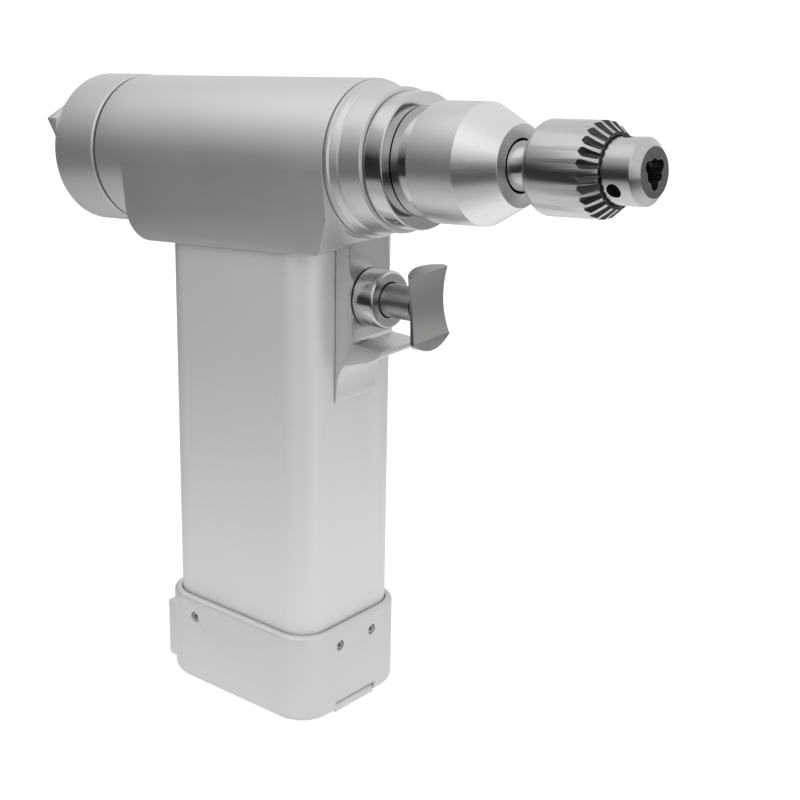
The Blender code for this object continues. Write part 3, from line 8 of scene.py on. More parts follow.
import bmesh
import bpy
from mathutils import Euler, Matrix, Vector


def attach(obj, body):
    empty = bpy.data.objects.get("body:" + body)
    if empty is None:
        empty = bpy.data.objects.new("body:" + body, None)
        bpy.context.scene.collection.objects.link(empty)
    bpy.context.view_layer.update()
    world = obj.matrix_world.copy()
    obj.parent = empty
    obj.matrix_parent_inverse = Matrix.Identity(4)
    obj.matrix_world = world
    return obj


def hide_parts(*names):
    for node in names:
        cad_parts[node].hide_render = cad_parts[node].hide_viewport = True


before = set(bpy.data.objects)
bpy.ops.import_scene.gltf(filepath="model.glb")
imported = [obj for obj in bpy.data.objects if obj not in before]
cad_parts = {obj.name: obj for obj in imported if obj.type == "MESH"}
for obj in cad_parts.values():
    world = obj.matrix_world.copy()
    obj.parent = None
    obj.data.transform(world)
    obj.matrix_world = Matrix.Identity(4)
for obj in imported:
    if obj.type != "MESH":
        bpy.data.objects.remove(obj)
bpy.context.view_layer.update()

LOG = logging.getLogger("surgical_drill")
MM = 0.001
WHITE = (1.0, 1.0, 1.0, 1.0)
ROUND = 160                      # facets of a full turn
SEAM = 0.3 * MM                  # gap between pieces that meet at a joint
BEYOND = 5 * MM                  # how far a long cutter reaches past its piece

Point2 = tuple[float, float]


class Grain(Enum):
    """The fine surface that a finish carries."""

    BLASTED = "blasted"
    TURNED = "turned"
    BRUSHED = "brushed"
    MOULDED = "moulded"


# Node trees


class TreeBuilder:
    """Adds nodes to a node tree and feeds their inputs."""

    def __init__(self, net: bpy.types.NodeTree) -> None:
        """Work on a node tree."""
        self.net = net

    def socket(self, name: str, side: str, kind: str, value: Optional[float] = None) -> None:
        """Give the tree itself a socket.

        Args:
            name: The socket's name.
            side: INPUT or OUTPUT.
            kind: Float, Int, Vector, Geometry or Material.
            value: Its default, for a number.
        """
        made = self.net.interface.new_socket(
            name=name, in_out=side, socket_type="NodeSocket" + kind)
        if value is not None:
            made.default_value = value

    def feed(self, target: bpy.types.NodeSocket, value: object) -> None:
        """Join a socket to an input, or set the input to a plain value."""
        if isinstance(value, bpy.types.NodeSocket):
            self.net.links.new(value, target)
        else:
            target.default_value = value

    def node(self, kind: str, inputs: Optional[dict] = None,
             **settings: object) -> bpy.types.Node:
        """Add a node, set its properties and feed its inputs.

        Args:
            kind: The node's type name.
            inputs: Sockets or plain values by input name or number.
            **settings: Properties of the node.

        Returns:
            The new node.
        """
        made = self.net.nodes.new(kind)
        for key, value in settings.items():
            setattr(made, key, value)
        for key, value in (inputs or {}).items():
            self.feed(made.inputs[key], value)
        return made

    def math(self, operation: str, *values: object, clamp: bool = False) -> bpy.types.NodeSocket:
        """Add a Math node on sockets or numbers and return its result."""
        return self.node("ShaderNodeMath", dict(enumerate(values)), operation=operation,
                         use_clamp=clamp).outputs[0]

    def vector(self, x: object = 0.0, y: object = 0.0, z: object = 0.0) -> bpy.types.NodeSocket:
        """Combine three sockets or numbers into a vector."""
        return self.node("ShaderNodeCombineXYZ", {0: x, 1: y, 2: z}).outputs[0]

    def noise(self, **inputs: object) -> bpy.types.NodeSocket:
        """Add a Noise Texture node and return its value."""
        return self.node("ShaderNodeTexNoise", inputs).outputs["Fac"]

    def mix(self, share: object, first: object, second: object) -> bpy.types.NodeSocket:
        """Blend two colours by a share from 0 to 1."""
        return self.node("ShaderNodeMix", {0: share, 6: first, 7: second},
                         data_type="RGBA").outputs[2]

    def ramp(self, share: bpy.types.NodeSocket, stops: Sequence[Point2]) -> bpy.types.NodeSocket:
        """Turn a share into a grey by a colour ramp.

        Args:
            share: From 0 to 1.
            stops: Pairs of a place from 0 to 1 and a grey.

        Returns:
            The grey's socket.
        """
        made = self.node("ShaderNodeValToRGB", {"Fac": share})
        elements = made.color_ramp.elements
        while len(elements) > 1:
            elements.remove(elements[-1])
        for number, (place, grey) in enumerate(stops):
            element = elements[0] if number == 0 else elements.new(place)
            element.position = place
            element.color = (grey, grey, grey, 1.0)
        return made.outputs["Color"]

    def toward(self, heading: bpy.types.NodeSocket, aim: Sequence[float], low: float,
               high: float) -> bpy.types.NodeSocket:
        """Return a smooth mask of how far a heading points along an aim.

        Args:
            heading: A direction's socket.
            aim: The direction that gives 1.
            low: Match below which the mask is 0.
            high: Match above which it is 1.

        Returns:
            The mask's socket.
        """
        match = self.node("ShaderNodeVectorMath", {0: heading, 1: aim}, operation="DOT_PRODUCT")
        return self.node("ShaderNodeMapRange", {
            "From Min": low, "From Max": high, "Value": match.outputs["Value"]},
            interpolation_type="SMOOTHSTEP").outputs["Result"]

    def for_camera(self, seen: bpy.types.Node, other: bpy.types.Node, target: str) -> None:
        """End the tree in one shader for the camera's rays and another for all others.

        Args:
            seen: The shader that the camera sees.
            other: The shader that lights and reflections meet.
            target: The output node's type name.
        """
        path = self.node("ShaderNodeLightPath").outputs["Is Camera Ray"]
        both = self.node("ShaderNodeMixShader", {
            0: path, 1: other.outputs[0], 2: seen.outputs[0]})
        self.node(target, {"Surface": both.outputs[0]})


class ShaderGroup(TreeBuilder):
    """A shader node group with named sockets."""

    def __init__(self, name: str, takes: dict[str, Optional[float]],
                 gives: Sequence[str]) -> None:
        """Start a group.

        Args:
            name: The group's name in plain words.
            takes: Its inputs: numbers have a default, vectors have none.
            gives: Its outputs, which are numbers.
        """
        super().__init__(bpy.data.node_groups.new(name, "ShaderNodeTree"))
        for key, value in takes.items():
            self.socket(key, "INPUT", "Vector" if value is None else "Float", value)
        for key in gives:
            self.socket(key, "OUTPUT", "Float")
        self.start = self.net.nodes.new("NodeGroupInput").outputs
        self.end = self.net.nodes.new("NodeGroupOutput").inputs

    def average(self, first: bpy.types.NodeSocket, second: bpy.types.NodeSocket,
                share: float) -> bpy.types.NodeSocket:
        """Weigh two numbers, the first one by a share."""
        return self.math("ADD", self.math("MULTIPLY", first, share),
                         self.math("MULTIPLY", second, 1.0 - share))


def grain_group() -> bpy.types.NodeTree:
    """Make the group that turns stretched coordinates into a fine relief and its shade."""
    group = ShaderGroup("fine grain", {"Vector": None, "Stretch": None, "Scale": 1000.0},
                        ("Height", "Shade"))
    scale = group.start["Scale"]
    spread = group.node("ShaderNodeVectorMath", {
        0: group.start["Vector"], 1: group.start["Stretch"]}, operation="MULTIPLY").outputs[0]
    fine = group.noise(Vector=spread, Scale=scale, Detail=5.0, Roughness=0.62)
    coarse = group.noise(Vector=spread, Scale=group.math("MULTIPLY", scale, 0.13), Detail=2.0)
    group.feed(group.end["Height"], fine)
    group.feed(group.end["Shade"], group.average(fine, coarse, 0.5))
    return group.net


def edge_group() -> bpy.types.NodeTree:
    """Make the group whose mask is 1 on worn, brightened edges."""
    group = ShaderGroup("worn edges", {"Reach": 0.4 * MM}, ("Mask",))
    bevel = group.node("ShaderNodeBevel", {"Radius": group.start["Reach"]}, samples=4)
    match = group.node("ShaderNodeVectorMath", {
        0: bevel.outputs["Normal"], 1: group.node("ShaderNodeNewGeometry").outputs["Normal"]},
        operation="DOT_PRODUCT")
    found = group.node("ShaderNodeMapRange", {
        "From Min": 0.01, "From Max": 0.12,
        "Value": group.math("SUBTRACT", 1.0, match.outputs["Value"])}).outputs["Result"]
    place = group.node("ShaderNodeTexCoord").outputs["Object"]
    worn = group.math("ADD", group.noise(Vector=place, Scale=260.0), 0.35, clamp=True)
    group.feed(group.end["Mask"], group.math("MULTIPLY", found, worn, clamp=True))
    return group.net


def handling_group() -> bpy.types.NodeTree:
    """Make the group for faint wiping marks and cloudiness, around 0.5."""
    group = ShaderGroup("handling marks", {"Scale": 60.0}, ("Cloud",))
    scale = group.start["Scale"]
    place = group.node("ShaderNodeTexCoord").outputs["Object"]
    drawn = group.node("ShaderNodeMapping", {
        "Scale": (0.4, 1.0, 5.0), "Rotation": (0.3, 0.7, 0.2), "Vector": place})
    wide = group.noise(Vector=place, Scale=scale, Detail=4.0, Distortion=0.6)
    streak = group.noise(Vector=drawn.outputs["Vector"],
                         Scale=group.math("MULTIPLY", scale, 1.7), Detail=6.0)
    group.feed(group.end["Cloud"], group.average(wide, streak, 0.6))
    return group.net


@dataclass(frozen=True)
class Workshop:
    """The shader groups that the finishes share."""

    grain: bpy.types.NodeTree
    edges: bpy.types.NodeTree
    handling: bpy.types.NodeTree

    @staticmethod
    def open() -> "Workshop":
        """Build each shared group once."""
        return Workshop(grain_group(), edge_group(), handling_group())


@dataclass(frozen=True)
class Finish:
    """A material of one piece or of several alike."""

    name: str
    slot: str
    colour: tuple[float, float, float]
    roughness: float
    metallic: float = 1.0
    grain: Grain = Grain.BLASTED
    scale: float = 1800.0
    relief: float = 0.12
    shade: float = 0.10
    edge: float = 0.25
    edge_reach: float = 0.35 * MM
    cloud: float = 0.08

    def stretch(self) -> tuple[float, float, float]:
        """Return how the grain is drawn out along each axis of its coordinates."""
        return {Grain.BLASTED: (1.0, 1.0, 1.0), Grain.TURNED: (0.012, 1.0, 1.0),
                Grain.BRUSHED: (1.0, 1.0, 0.02), Grain.MOULDED: (1.0, 1.0, 1.0)}[self.grain]

    def make(self, shop: Workshop) -> bpy.types.Material:
        """Build the node tree of this finish.

        Args:
            shop: The shared shader groups.

        Returns:
            The material.
        """
        material = bpy.data.materials.new(self.name)
        material.use_nodes = True
        build = TreeBuilder(material.node_tree)
        place = build.node("ShaderNodeTexCoord").outputs
        grain = build.node("ShaderNodeGroup", {
            "Stretch": self.stretch(), "Scale": self.scale,
            "Vector": place["UV" if self.grain is Grain.TURNED else "Object"]},
            node_tree=shop.grain).outputs
        edges = build.node("ShaderNodeGroup", {"Reach": self.edge_reach},
                           node_tree=shop.edges).outputs["Mask"]
        cloud = build.node("ShaderNodeGroup", node_tree=shop.handling).outputs["Cloud"]
        relief = build.node("ShaderNodeBump", {
            "Strength": self.relief, "Distance": 0.05 * MM, "Height": grain["Height"]})
        shader = material.node_tree.nodes["Principled BSDF"].inputs
        for name, value in (
                ("Metallic", self.metallic),
                ("Base Color", self.tone(build, grain["Shade"], edges, cloud)),
                ("Roughness", self.gloss(build, edges, cloud)),
                ("Normal", relief.outputs["Normal"])):
            build.feed(shader[name], value)
        return material

    def tone(self, build: TreeBuilder, grain: bpy.types.NodeSocket, edges: bpy.types.NodeSocket,
             cloud: bpy.types.NodeSocket) -> bpy.types.NodeSocket:
        """Shade the colour by grain and cloud, and brighten it on edges."""
        low = (*(value * (1.0 - self.shade) for value in self.colour), 1.0)
        high = (*(min(1.0, value * (1.0 + self.shade)) for value in self.colour), 1.0)
        worn = (*(value + (0.92 - value) * self.edge for value in self.colour), 1.0)
        share = build.math("MULTIPLY_ADD", grain, 0.5, build.math("MULTIPLY", cloud, 0.5))
        return build.mix(edges, build.mix(share, low, high), worn)

    def gloss(self, build: TreeBuilder, edges: bpy.types.NodeSocket,
              cloud: bpy.types.NodeSocket) -> bpy.types.NodeSocket:
        """Vary the roughness by cloud, and lower it on edges."""
        spread = build.node("ShaderNodeMapRange", {
            "From Min": 0.3, "From Max": 0.7, "To Min": self.roughness * (1.0 - self.cloud),
            "To Max": self.roughness * (1.0 + self.cloud), "Value": cloud}).outputs["Result"]
        return build.math("ADD", spread, build.math("MULTIPLY", edges, -0.35 * self.roughness),
                          clamp=True)


# Shapes


@dataclass(frozen=True)
class Line:
    """A turning or sliding line in the drill's plane of symmetry."""

    root: tuple[float, float, float]
    pitch: float

    def matrix(self) -> Matrix:
        """Return the frame whose Z runs along the line and whose X points down."""
        turn = Euler((0.0, 0.5 * math.pi - self.pitch, 0.0)).to_matrix().to_4x4()
        return Matrix.Translation(self.root) @ turn

    @staticmethod
    def around(angle: float, radius: float = 1.0) -> Vector:
        """Return local (x, y) at an angle upward from the near side."""
        return Vector((-radius * math.sin(angle), -radius * math.cos(angle), 0.0))


BARREL = Line((-29.5 * MM, 0.0, 156.1 * MM), math.radians(6.9))
TRIGGER = Line((32.8 * MM, 0.0, 125.8 * MM), math.radians(4.0))
BUSH_HOLE = 6.65 * MM
UPRIGHT = Euler((0.5 * math.pi, 0.0, 0.0)).to_matrix().to_4x4()
EDGEWISE = Euler((0.5 * math.pi, 0.0, 0.5 * math.pi)).to_matrix().to_4x4()


def rounded(points: Sequence[Sequence[float]], closed: bool = True, steps: int = 5) -> list[Point2]:
    """Round the corners of a flat outline or profile.

    Args:
        points: Corners as (a, b) or (a, b, radius).
        closed: Whether the last corner joins the first.
        steps: Facets of each rounded corner.

    Returns:
        The outline's points.
    """
    made: list[Point2] = []
    count = len(points)
    for index, point in enumerate(points):
        here = Vector(point[:2])
        radius = point[2] if len(point) > 2 else 0.0
        if not radius or (not closed and index in (0, count - 1)):
            made.append((here.x, here.y))
            continue
        before = (Vector(points[index - 1][:2]) - here).normalized()
        after = (Vector(points[(index + 1) % count][:2]) - here).normalized()
        opening = before.angle(after)
        reach = radius / math.tan(0.5 * opening)
        centre = here + (before + after).normalized() * radius / math.sin(0.5 * opening)
        start, end = here + before * reach - centre, here + after * reach - centre
        for step in range(steps + 1):
            share = step / steps
            sweep = math.pi - opening
            blend = (math.sin((1 - share) * sweep) * start + math.sin(share * sweep) * end)
            blend /= math.sin(sweep)
            made.append((centre.x + blend.x, centre.y + blend.y))
    return made


def link(name: str, mesh: bpy.types.Mesh) -> bpy.types.Object:
    """Put a mesh into the scene as an object at the origin."""
    obj = bpy.data.objects.new(name, mesh)
    bpy.context.scene.collection.objects.link(obj)
    return obj


def tidy(mesh: bpy.types.Mesh, angle: float = 32.0) -> bpy.types.Mesh:
    """Merge doubles, point faces outwards and shade smooth but for sharp edges.

    Args:
        mesh: The mesh to finish.
        angle: Edges sharper than this stay sharp, in degrees.

    Returns:
        The same mesh.
    """
    work = bmesh.new()
    work.from_mesh(mesh)
    bmesh.ops.remove_doubles(work, verts=work.verts, dist=2e-7)
    bmesh.ops.recalc_face_normals(work, faces=work.faces)
    work.to_mesh(mesh)
    work.free()
    mesh.shade_smooth()
    mesh.set_sharp_from_angle(angle=math.radians(angle))
    return mesh


def solid(name: str, work: bmesh.types.BMesh) -> bpy.types.Object:
    """Make a tidy object of a working mesh, which is used up."""
    mesh = bpy.data.meshes.new(name)
    work.to_mesh(mesh)
    work.free()
    return link(name, tidy(mesh))


def lathe(name: str, profile: Sequence[Sequence[float]], line: Optional[Line] = None,
          closed: bool = True, around: int = ROUND, turn: Matrix = Matrix()) -> bpy.types.Object:
    """Turn a profile about a line, with a UV map of metres around and along it.

    Args:
        name: The object's name.
        profile: (radius, station) or (radius, station, rounding), outer side front to back.
        line: The line turned about; the world's Z through the origin if left out.
        closed: Whether the profile is a ring, or else starts and ends on the line.
        around: Facets of a full turn.
        turn: A frame applied last.

    Returns:
        The new object.
    """
    outline = rounded(profile, closed)
    work = bmesh.new()
    layer = work.loops.layers.uv.new("UVMap")
    place = turn @ (line.matrix() if line else Matrix())
    rings: list[list[bmesh.types.BMVert]] = []
    for radius, station in outline:
        if radius < 1e-9:
            rings.append([work.verts.new(place @ Vector((0.0, 0.0, station)))] * around)
            continue
        rings.append([work.verts.new(place @ Vector((
            radius * math.cos(2 * math.pi * step / around),
            radius * math.sin(2 * math.pi * step / around), station))) for step in range(around)])
    lengths = [0.0]
    pairs = list(zip(range(len(outline) - 1), range(1, len(outline))))
    if closed:
        pairs.append((len(outline) - 1, 0))
    for first, second in pairs:
        step_length = (Vector(outline[second]) - Vector(outline[first])).length
        lengths.append(lengths[-1] + step_length)
    widest = max(radius for radius, _ in outline)
    for number, (first, second) in enumerate(pairs):
        for step in range(around):
            after = (step + 1) % around
            corners = [(rings[first][step], step, number), (rings[second][step], step, number + 1),
                       (rings[second][after], step + 1, number + 1),
                       (rings[first][after], step + 1, number)]
            kept = []
            for corner in corners:
                if all(corner[0] is not other[0] for other in kept):
                    kept.append(corner)
            if len(kept) < 3:
                continue
            face = work.faces.new([corner[0] for corner in kept])
            for loop, (_, column, row) in zip(face.loops, kept):
                loop[layer].uv = (2 * math.pi * widest * column / around, lengths[row])
    return solid(name, work)


def rod(name: str, radius: float, start: float, end: float, line: Optional[Line] = None,
        around: int = ROUND, turn: Matrix = Matrix()) -> bpy.types.Object:
    """Make a plain cylinder between two stations of a line, as lathe does."""
    return lathe(name, [(0.0, start), (radius, start), (radius, end), (0.0, end)], line,
                 closed=False, around=around, turn=turn)


def bush_hole() -> bpy.types.Object:
    """Return the body that cuts the bush's hole through the neck and the handle."""
    return rod("bush_hole", BUSH_HOLE, 3 * MM, -12 * MM, TRIGGER, around=64)


def slab(name: str, outline: Sequence[Point2], low: float, high: float,
         place: Matrix = Matrix()) -> bpy.types.Object:
    """Thicken a flat outline between two local heights.

    Args:
        name: The object's name.
        outline: The outline's local (x, y) points.
        low: Where it starts along local Z.
        high: Where it ends.
        place: The frame it is made in.

    Returns:
        The new object.
    """
    work = bmesh.new()
    face = work.faces.new([work.verts.new((x, y, low)) for x, y in outline])
    grown = bmesh.ops.extrude_face_region(work, geom=[face])
    moved = [item for item in grown["geom"] if isinstance(item, bmesh.types.BMVert)]
    bmesh.ops.translate(work, verts=moved, vec=(0.0, 0.0, high - low))
    bmesh.ops.transform(work, matrix=place, verts=work.verts)
    return solid(name, work)


def block(name: str, low: Sequence[float], high: Sequence[float],
          place: Matrix = Matrix()) -> bpy.types.Object:
    """Make a box between two corners of a frame."""
    corners = [(low[0], low[1]), (high[0], low[1]), (high[0], high[1]), (low[0], high[1])]
    return slab(name, corners, low[2], high[2], place)


def rectangle(half_x: float, half_y: float, radius: float, centre_x: float = 0.0,
              steps: int = 10) -> list[Point2]:
    """Return a rounded rectangle's outline."""
    corners = [(centre_x + half_x, -half_y, radius), (centre_x + half_x, half_y, radius),
               (centre_x - half_x, half_y, radius), (centre_x - half_x, -half_y, radius)]
    return rounded(corners, steps=steps)


def applied(obj: bpy.types.Object) -> bpy.types.Object:
    """Turn an object's modifiers into its own mesh."""
    bpy.context.view_layer.update()
    graph = bpy.context.evaluated_depsgraph_get()
    mesh = bpy.data.meshes.new_from_object(obj.evaluated_get(graph))
    mesh.name = obj.name
    obj.modifiers.clear()
    obj.data = mesh
    return obj


def combine(obj: bpy.types.Object, other: bpy.types.Object,
            operation: str = "DIFFERENCE") -> bpy.types.Object:
    """Cut, join or intersect a piece with another body, which is used up.

    Args:
        obj: The piece.
        other: The body that cuts or joins it.
        operation: DIFFERENCE, UNION or INTERSECT.

    Returns:
        The piece with its new mesh.
    """
    modifier = obj.modifiers.new(operation.lower(), "BOOLEAN")
    modifier.object = other
    modifier.operation = operation
    modifier.solver = "EXACT"
    applied(obj)
    bpy.data.objects.remove(other)
    return obj


def eased(obj: bpy.types.Object, width: float, segments: int = 3,
          angle: float = 35.0) -> bpy.types.Object:
    """Round a piece's sharp edges and shade it.

    Args:
        obj: The piece.
        width: Width of the rounding.
        segments: Facets across it.
        angle: Edges sharper than this are rounded, in degrees.

    Returns:
        The piece.
    """
    work = bmesh.new()
    work.from_mesh(obj.data)
    bmesh.ops.remove_doubles(work, verts=work.verts, dist=2e-6)
    bmesh.ops.dissolve_degenerate(work, edges=work.edges, dist=2e-6)
    bmesh.ops.recalc_face_normals(work, faces=work.faces)
    work.to_mesh(obj.data)
    work.free()
    bevel = obj.modifiers.new("eased", "BEVEL")
    bevel.width = width
    bevel.segments = segments
    bevel.limit_method = "ANGLE"
    bevel.angle_limit = math.radians(angle)
    bevel.miter_outer = "MITER_ARC"
    bevel.use_clamp_overlap = True
    applied(obj)
    tidy(obj.data, 40.0)
    return obj


def paint(obj: bpy.types.Object, materials: Sequence[bpy.types.Material],
          pick: Callable[[Vector, Vector], int]) -> None:
    """Add materials to a piece of the barrel's line and pick one for each face.

    Args:
        obj: The piece.
        materials: What follows its first material.
        pick: Gives a face's material number from its centre and normal on that line.
    """
    for material in materials:
        obj.data.materials.append(material)
    back = BARREL.matrix().inverted()
    for face in obj.data.polygons:
        face.material_index = pick(back @ face.center, back.to_3x3() @ face.normal)


@dataclass
class Bench:
    """Where finished pieces are dressed, put on their bodies and reported."""

    shop: Workshop
    materials: dict[str, bpy.types.Material] = field(default_factory=dict)

    def material(self, finish: Finish) -> bpy.types.Material:
        """Return a finish's material, made on its first use."""
        if finish.name not in self.materials:
            self.materials[finish.name] = finish.make(self.shop)
        return self.materials[finish.name]

    def mount(self, obj: bpy.types.Object, finish: Finish, body: str,
              *nodes: str) -> bpy.types.Object:
        """Dress a piece, put it on a body and let it stand for its solids.

        Args:
            obj: The piece.
            finish: Its finish.
            body: The body it moves with.
            *nodes: The solids it stands for.

        Returns:
            The piece.
        """
        obj.data.materials.clear()
        obj.data.materials.append(self.material(finish))
        for face in obj.data.polygons:
            face.material_index = 0
        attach(obj, body)
        if nodes:
            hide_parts(*nodes)
        LOG.info("%s: %d faces on %s", obj.name, len(obj.data.polygons), body)
        return obj

    def dress(self, finish: Finish, *nodes: str) -> None:
        """Give solids that stay visible their finish."""
        for name in nodes:
            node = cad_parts[name]
            node.data.materials.clear()
            node.data.materials.append(self.material(finish))
            LOG.info("%s: dressed in %s", name, finish.name)


# Finishes

SATIN = Finish("bead_blasted_casting", "satin_casting", (0.67, 0.675, 0.68), 0.40,
               metallic=0.8, scale=2600.0, relief=0.10, shade=0.05, edge=0.45)
NECK = Finish("fine_blasted_neck", "satin_casting", (0.66, 0.665, 0.665), 0.28,
              scale=2600.0, relief=0.08, shade=0.05, edge=0.6)
COLLAR = Finish("satin_turned_collar", "satin_casting", (0.66, 0.665, 0.665), 0.32,
                metallic=0.85, grain=Grain.TURNED, scale=2600.0, relief=0.10, shade=0.05, edge=0.5)
# A lighter copy of the collar's finish: the cone is painted lighter to stand for its bright
# reflection.
CONE = Finish("light_blasted_cone", "satin_casting", (0.82, 0.82, 0.815), 0.27,
              metallic=0.95, grain=Grain.TURNED, scale=2600.0, relief=0.10, shade=0.04, edge=0.5)
POLISHED = Finish("polished_ring_steel", "polished_ring", (0.66, 0.66, 0.65), 0.13,
                  grain=Grain.TURNED, scale=3800.0, relief=0.10, shade=0.05, edge=0.4)
# Dark steel for the chuck's face, also used as painted shade in the holes, the mouth and the
# collar's recesses.
FACE_AND_SHADE = Finish("turned_face_steel", "chuck_steel", (0.17, 0.17, 0.165), 0.45,
              grain=Grain.TURNED, scale=2600.0, relief=0.10, shade=0.08, edge=0.3)
CHUCK = Finish("turned_chuck_steel", "chuck_steel", (0.60, 0.60, 0.59), 0.22,
               grain=Grain.TURNED, scale=3600.0, relief=0.16, shade=0.07, edge=0.4)
# Near-black steel on the flanks of the gaps between the key's teeth: painted shade in the gaps.
TOOTH_GAP_SHADE = Finish("key_teeth_steel", "chuck_steel", (0.075, 0.075, 0.073), 0.42,
               grain=Grain.BLASTED, scale=3200.0, relief=0.12, shade=0.10, edge=0.5,
               edge_reach=0.14 * MM)
FINGER = Finish("satin_trigger_steel", "trigger_steel", (0.40, 0.40, 0.385), 0.36,
                scale=3000.0, relief=0.10, shade=0.06, edge=0.5)
PALE = Finish("matte_pale_aluminium", "pale_aluminium", (0.70, 0.70, 0.695), 0.46,
              metallic=0.5, grain=Grain.BRUSHED, scale=1500.0, relief=0.05, shade=0.025,
              edge=0.35)
CASE = replace(PALE, name="matte_pale_foot", colour=(0.61, 0.61, 0.605))
STEEL = Finish("machined_steel", "plain_steel", (0.46, 0.46, 0.46), 0.34,
               scale=2200.0, relief=0.10, shade=0.10)
BEARING = Finish("ground_race_steel", "polished_ring", (0.62, 0.62, 0.61), 0.16,
                 scale=2200.0, relief=0.06, shade=0.06)
BRASS = Finish("cage_brass", "cage_brass", (0.62, 0.44, 0.17), 0.32, scale=1800.0)
COPPER = Finish("lacquered_winding", "winding", (0.60, 0.27, 0.10), 0.30, scale=1500.0,
                shade=0.2)
MAGNET = Finish("ground_magnet", "magnet", (0.24, 0.24, 0.25), 0.38, scale=1800.0)
PLASTIC = Finish("moulded_dark_plastic", "dark_plastic", (0.035, 0.036, 0.038), 0.52,
                 metallic=0.0, grain=Grain.MOULDED, scale=1400.0, relief=0.2, shade=0.2,
                 edge=0.06)
RUBBER = Finish("dark_seal_rubber", "seal_rubber", (0.018, 0.018, 0.018), 0.72,
                metallic=0.0, grain=Grain.MOULDED, scale=1400.0, relief=0.25, shade=0.2,
                edge=0.03)
BOARD = Finish("green_board", "circuit_board", (0.02, 0.14, 0.06), 0.42, metallic=0.0,
               grain=Grain.MOULDED, scale=900.0, relief=0.2, shade=0.25, edge=0.05)
WRAP = Finish("cell_shrink_wrap", "cell_wrap", (0.05, 0.13, 0.36), 0.34, metallic=0.0,
              grain=Grain.MOULDED, scale=500.0, relief=0.1, shade=0.12, edge=0.08)


# Sub-assemblies


@dataclass
class Housing:
    """The barrel casting with its saddle, front neck and shelf."""

    radius: float = 21.0 * MM
    bore: float = 18.2 * MM
    back: float = -23.4 * MM
    front: float = 63.8 * MM
    chamfer: float = 0.45 * MM
    saddle_depth: float = 22.2 * MM
    saddle_back: float = -12.7 * MM
    saddle_round: float = 8.5 * MM
    saddle_front: float = 63.5 * MM
    last_ring: float = 0.8 * MM
    front_slope: float = 3.6 * MM
    front_rise: float = 9.5 * MM
    neck_back: float = 27.5 * MM
    neck_half: float = 8.2 * MM
    neck_top: float = 146.0 * MM
    polished_top: float = 137.0 * MM
    polished_depth: float = 4.0 * MM
    shelf_top: float = 114.3 * MM
    shelf_tip: float = 43.2 * MM
    shelf_thick: float = 1.5 * MM
    shelf_root: float = 6.0 * MM
    shelf_knee: float = 3.7 * MM
    neck_tip: float = 96.0 * MM
    neck_sweep: Sequence[Point2] = ((0.72, 0.965), (0.50, 0.88), (0.36, 0.79), (0.25, 0.66),
                                    (0.17, 0.51), (0.11, 0.34), (0.07, 0.16), (0.05, 0.0))
    edge: float = 0.5 * MM

    def saddle_outline(self) -> list[Point2]:
        """Return the saddle's side outline as (down, along)."""
        return rounded([
            (0.0, self.saddle_back), (self.saddle_depth, self.saddle_back, self.saddle_round),
            (self.saddle_depth, self.saddle_front - self.front_slope, 2.0 * MM),
            (self.saddle_depth - self.front_rise, self.saddle_front, 4.0 * MM),
            (0.0, self.saddle_front)], steps=10)

    def neck_outline(self) -> list[Point2]:
        """Return the neck's and shelf's side outline as (x, z)."""
        lean = math.tan(TRIGGER.pitch)
        face = TRIGGER.root[0]
        middle = TRIGGER.root[2]
        root = self.shelf_top - self.shelf_root
        depth, drop = face - self.neck_back, root - self.neck_tip
        sweep = [(self.neck_back + out * depth, self.neck_tip + up * drop)
                 for out, up in self.neck_sweep]
        return rounded([
            (self.neck_back, self.neck_top),
            (face - lean * (self.neck_top - middle), self.neck_top),
            (face - lean * (self.shelf_top - middle), self.shelf_top, 1.0 * MM),
            (self.shelf_tip, self.shelf_top, 0.3 * MM),
            (self.shelf_tip, self.shelf_top - self.shelf_thick, 0.6 * MM),
            (self.shelf_tip - self.shelf_knee,
             self.shelf_top - 0.5 * (self.shelf_thick + self.shelf_root), 5.0 * MM),
            (face, root, 5.0 * MM), *sweep, (self.neck_back, self.neck_tip)], steps=4)

    def build(self, bench: Bench) -> None:
        """Make the casting in one piece."""
        body = lathe("barrel_casting", [
            (0.0, self.front), (self.radius, self.front),
            (self.radius, self.saddle_back - self.last_ring),
            (self.radius, self.back, self.chamfer),
            (0.0, self.back)], BARREL, closed=False)
        saddle = slab("saddle", self.saddle_outline(), -self.radius, self.radius,
                      BARREL.matrix() @ UPRIGHT)
        combine(body, saddle, "UNION")
        neck = slab("neck", self.neck_outline(), -self.neck_half, self.neck_half, UPRIGHT)
        combine(body, neck, "UNION")
        combine(body, rod("bore", self.bore, self.front + BEYOND, self.back - BEYOND, BARREL))
        combine(body, bush_hole())
        eased(body, self.edge)
        bench.mount(body, SATIN, "frame", "main_housing")
        body.data.materials.append(bench.material(NECK))
        for face in body.data.polygons:
            ahead = face.center.x > TRIGGER.root[0] - self.polished_depth
            if ahead and self.shelf_top < face.center.z < self.polished_top:
                face.material_index = 1


